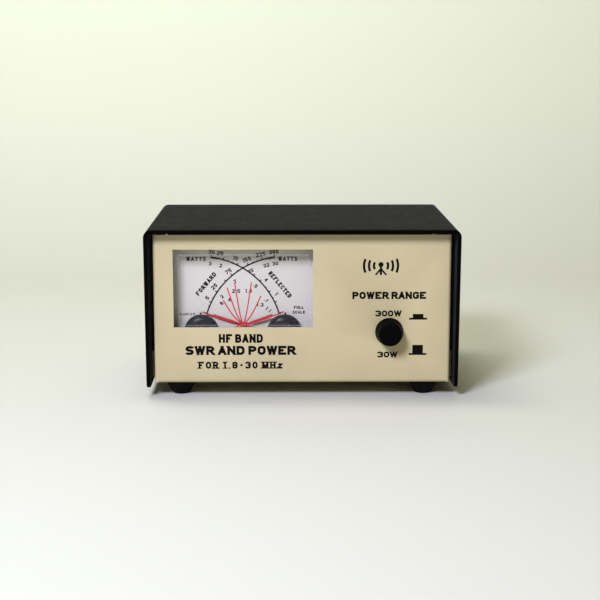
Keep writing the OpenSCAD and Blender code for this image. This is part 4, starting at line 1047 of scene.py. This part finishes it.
def connector_contact(name, node):
    """The centre contact: a slotted socket for a 4 mm pin, and a solder cup behind."""
    lo, hi = box_mm(node)
    x, z = (lo.x + hi.x) / 2, (lo.z + hi.z) / 2
    profile = [(0, lo.y), (1.4, lo.y), (1.8, lo.y + 0.4), (1.8, lo.y + 4), (2.8, lo.y + 4), (2.8, hi.y - 0.3),
               (2.5, hi.y), (2.15, hi.y), (2.0, hi.y - 0.3), (2.0, hi.y - 12), (0, hi.y - 12)]
    bm = bmesh.new()
    lathe(bm, profile, (x, 0, z), "Y", 48)
    bm = cut(bm, crossed_slots(x, z, hi.y - 7, hi.y + 1, 4, 0.25))
    finish_piece(name, bm, "contact_gold", sharp=35, replaces=[node])


def insulator_pair():
    bm = bmesh.new()
    lo, hi = box_mm("connector_insulators")
    for node in SOCKETS:
        c = centre_mm(node)
        profile = [(2.87, lo.y), (5.95, lo.y), (5.95, hi.y), (4.9, hi.y), (4.7, hi.y - 0.5),
                   (3.9, hi.y - 0.5), (3.7, hi.y), (2.87, hi.y)]
        lathe(bm, rounded(profile, 0.2, 3), (c.x, 0, c.z), "Y", 64, closed=True)
    finish_piece("insulator_pair", bm, "white_plastic", sharp=40, replaces=["connector_insulators"])


def connector_screw_set():
    bm = bmesh.new()
    head_h = 1.7
    y = box_mm("connector_screws")[1].y - head_h
    for node in SOCKETS:
        for x, z in socket_screw_places(centre_mm(node)):
            pan_screw(bm, (x, y, z), 1, 2.8, head_h)
    finish_piece("connector_screw_set", bm, "zinc_steel", sharp=30, replaces=["connector_screws"])


def dc_jack():
    lo, hi = box_mm("dc_jack_body")
    x, z = (lo.x + hi.x) / 2, (lo.z + hi.z) / 2
    inner = BACK_Y + 0.05
    profile = [(1.1, lo.y), (4.0, lo.y), (4.0, inner), (5.5, inner), (5.5, hi.y - 0.5), (5.1, hi.y),
               (3.4, hi.y), (2.8, hi.y - 0.6), (2.8, lo.y + 4), (1.1, lo.y + 4)]
    bm = bmesh.new()
    lathe(bm, rounded(profile, 0.25, 3), (x, 0, z), "Y", 64, closed=True)
    finish_piece("dc_jack_moulding", bm, "black_plastic", sharp=40, replaces=["dc_jack_body"])


# ---- materials of the CAD nodes that stay


def dress_cad_nodes():
    """Each carried-over node takes the material of its slot in the record."""
    for part in frame["record"]["subparts"]:
        obj = NODES[part["node"]]
        obj.data.materials.clear()
        obj.data.materials.append(M[part["material_slot"]])
        obj.data.shade_smooth()
        obj.data.set_sharp_from_angle(angle=math.radians(30))


# ---- stage


def stage_floor():
    """A pale sweep: floor, a wide curve and a wall behind."""
    s = Shader("floor_paper", (0.6, 0.6, 0.56), 0.8, Specular_IOR_Level=0.2)
    height = s.node("ShaderNodeSeparateXYZ")
    s.link(s.place, height.inputs["Vector"])
    s.link(s.ramp(height.outputs["Z"], (0.525, 0.52, 0.475), (0.83, 0.855, 0.69), 0.0, 0.25),
           s.bsdf.inputs["Base Color"])
    s.add_bump(s.noise(0.3), 0.03)
    depth, bend, wall = 0.30, 0.25, 2.5
    near, half_width = -3.0, 4.0
    profile = [(near, 0.0), (depth, 0.0)]
    profile += [(depth + bend * math.sin(math.radians(a)), bend - bend * math.cos(math.radians(a)))
                for a in range(6, 91, 6)]
    profile.append((depth + bend, wall))
    bm = bmesh.new()
    rows = [[bm.verts.new((x, y, z)) for y, z in profile] for x in (-half_width, half_width)]
    bridge(bm, rows[1], rows[0], closed=False)
    mesh = to_mesh(bm, "floor")
    mesh.shade_smooth()
    mesh.materials.append(s.mat)
    floor = add_object("floor", mesh)


def area_light(name, place, aim, size, watts, colour):
    light = bpy.data.lights.new(name, "AREA")
    light.shape = "RECTANGLE"
    light.size, light.size_y = size
    light.energy = watts
    light.color = colour
    obj = add_object(name, light)
    obj.location = place
    obj.rotation_euler = (Vector(aim) - Vector(place)).to_track_quat("-Z", "Y").to_euler()


def from_angles(azimuth, elevation, distance):
    """A place at these angles from the front of the object, left and up positive."""
    a, e = math.radians(azimuth), math.radians(elevation)
    ahead = distance * math.cos(e)
    return -ahead * math.sin(a), -ahead * math.cos(a), distance * math.sin(e)


def lights():
    area_light("key", from_angles(25, 40, 1.0), (0, 0, 0.04), (0.26, 0.26), 9.5, (0.97, 1.0, 1.24))
    area_light("top", (0.0, 0.1, 1.5), (0, 0, 0), (1.2, 1.2), 2.8, (1.0, 0.96, 0.4))
    area_light("wall_light", (-0.25, 0.1, 1.1), (-0.1, 0.55, 0.2), (0.7, 0.3), 7.2, (0.98, 1.0, 0.92))
    world = bpy.data.worlds.new("world")
    world.use_nodes = True
    background = world.node_tree.nodes["Background"]
    background.inputs["Color"].default_value = (1.0, 0.97, 0.5, 1)
    background.inputs["Strength"].default_value = 0.125
    bpy.context.scene.world = world


def camera():
    """At the height and distance of the view in front of the cover's top front edge."""
    place = Vector((-9.3, COVER_LO.y - 694.4, 185.2)) * MM
    yaw, pitch, roll = math.radians(0.66), math.radians(10.75), math.radians(0.02)
    cam = bpy.data.cameras.new("camera")
    cam.lens = 81.34
    cam.sensor_width = 36
    cam.clip_start, cam.clip_end = 0.01, 50
    obj = add_object("camera", cam)
    obj.matrix_world = Matrix.Translation(place) @ Matrix.Rotation(-yaw, 4, "Z") \
        @ Matrix.Rotation(math.pi / 2 - pitch, 4, "X") @ Matrix.Rotation(roll, 4, "Z")
    bpy.context.scene.camera = obj


camera()
lights()
stage_floor()
dress_cad_nodes()
cover_shell()
chassis_sheet()
cover_screw_set()
foot_set()
panel_print()
rear_print()
dial_print()
swr_curves()
needle_piece("forward_pointer", "forward_needle", "forward_movement", 1)
needle_piece("reflected_pointer", "reflected_needle", "reflected_movement", -1)
pivot_cap("forward_cap", "forward_pivot_cap", FORWARD_X)
pivot_cap("reflected_cap", "reflected_pivot_cap", REFLECTED_X)
lens()
lens_rim()
button_cap()
connector_shell("transmitter_shell", "tx_connector_shell")
connector_shell("antenna_shell", "antenna_connector_shell")
connector_contact("transmitter_contact", "tx_connector_contact")
connector_contact("antenna_contact", "antenna_connector_contact")
insulator_pair()
connector_screw_set()
dc_jack()

bpy.context.scene.view_settings.view_transform = "Standard"
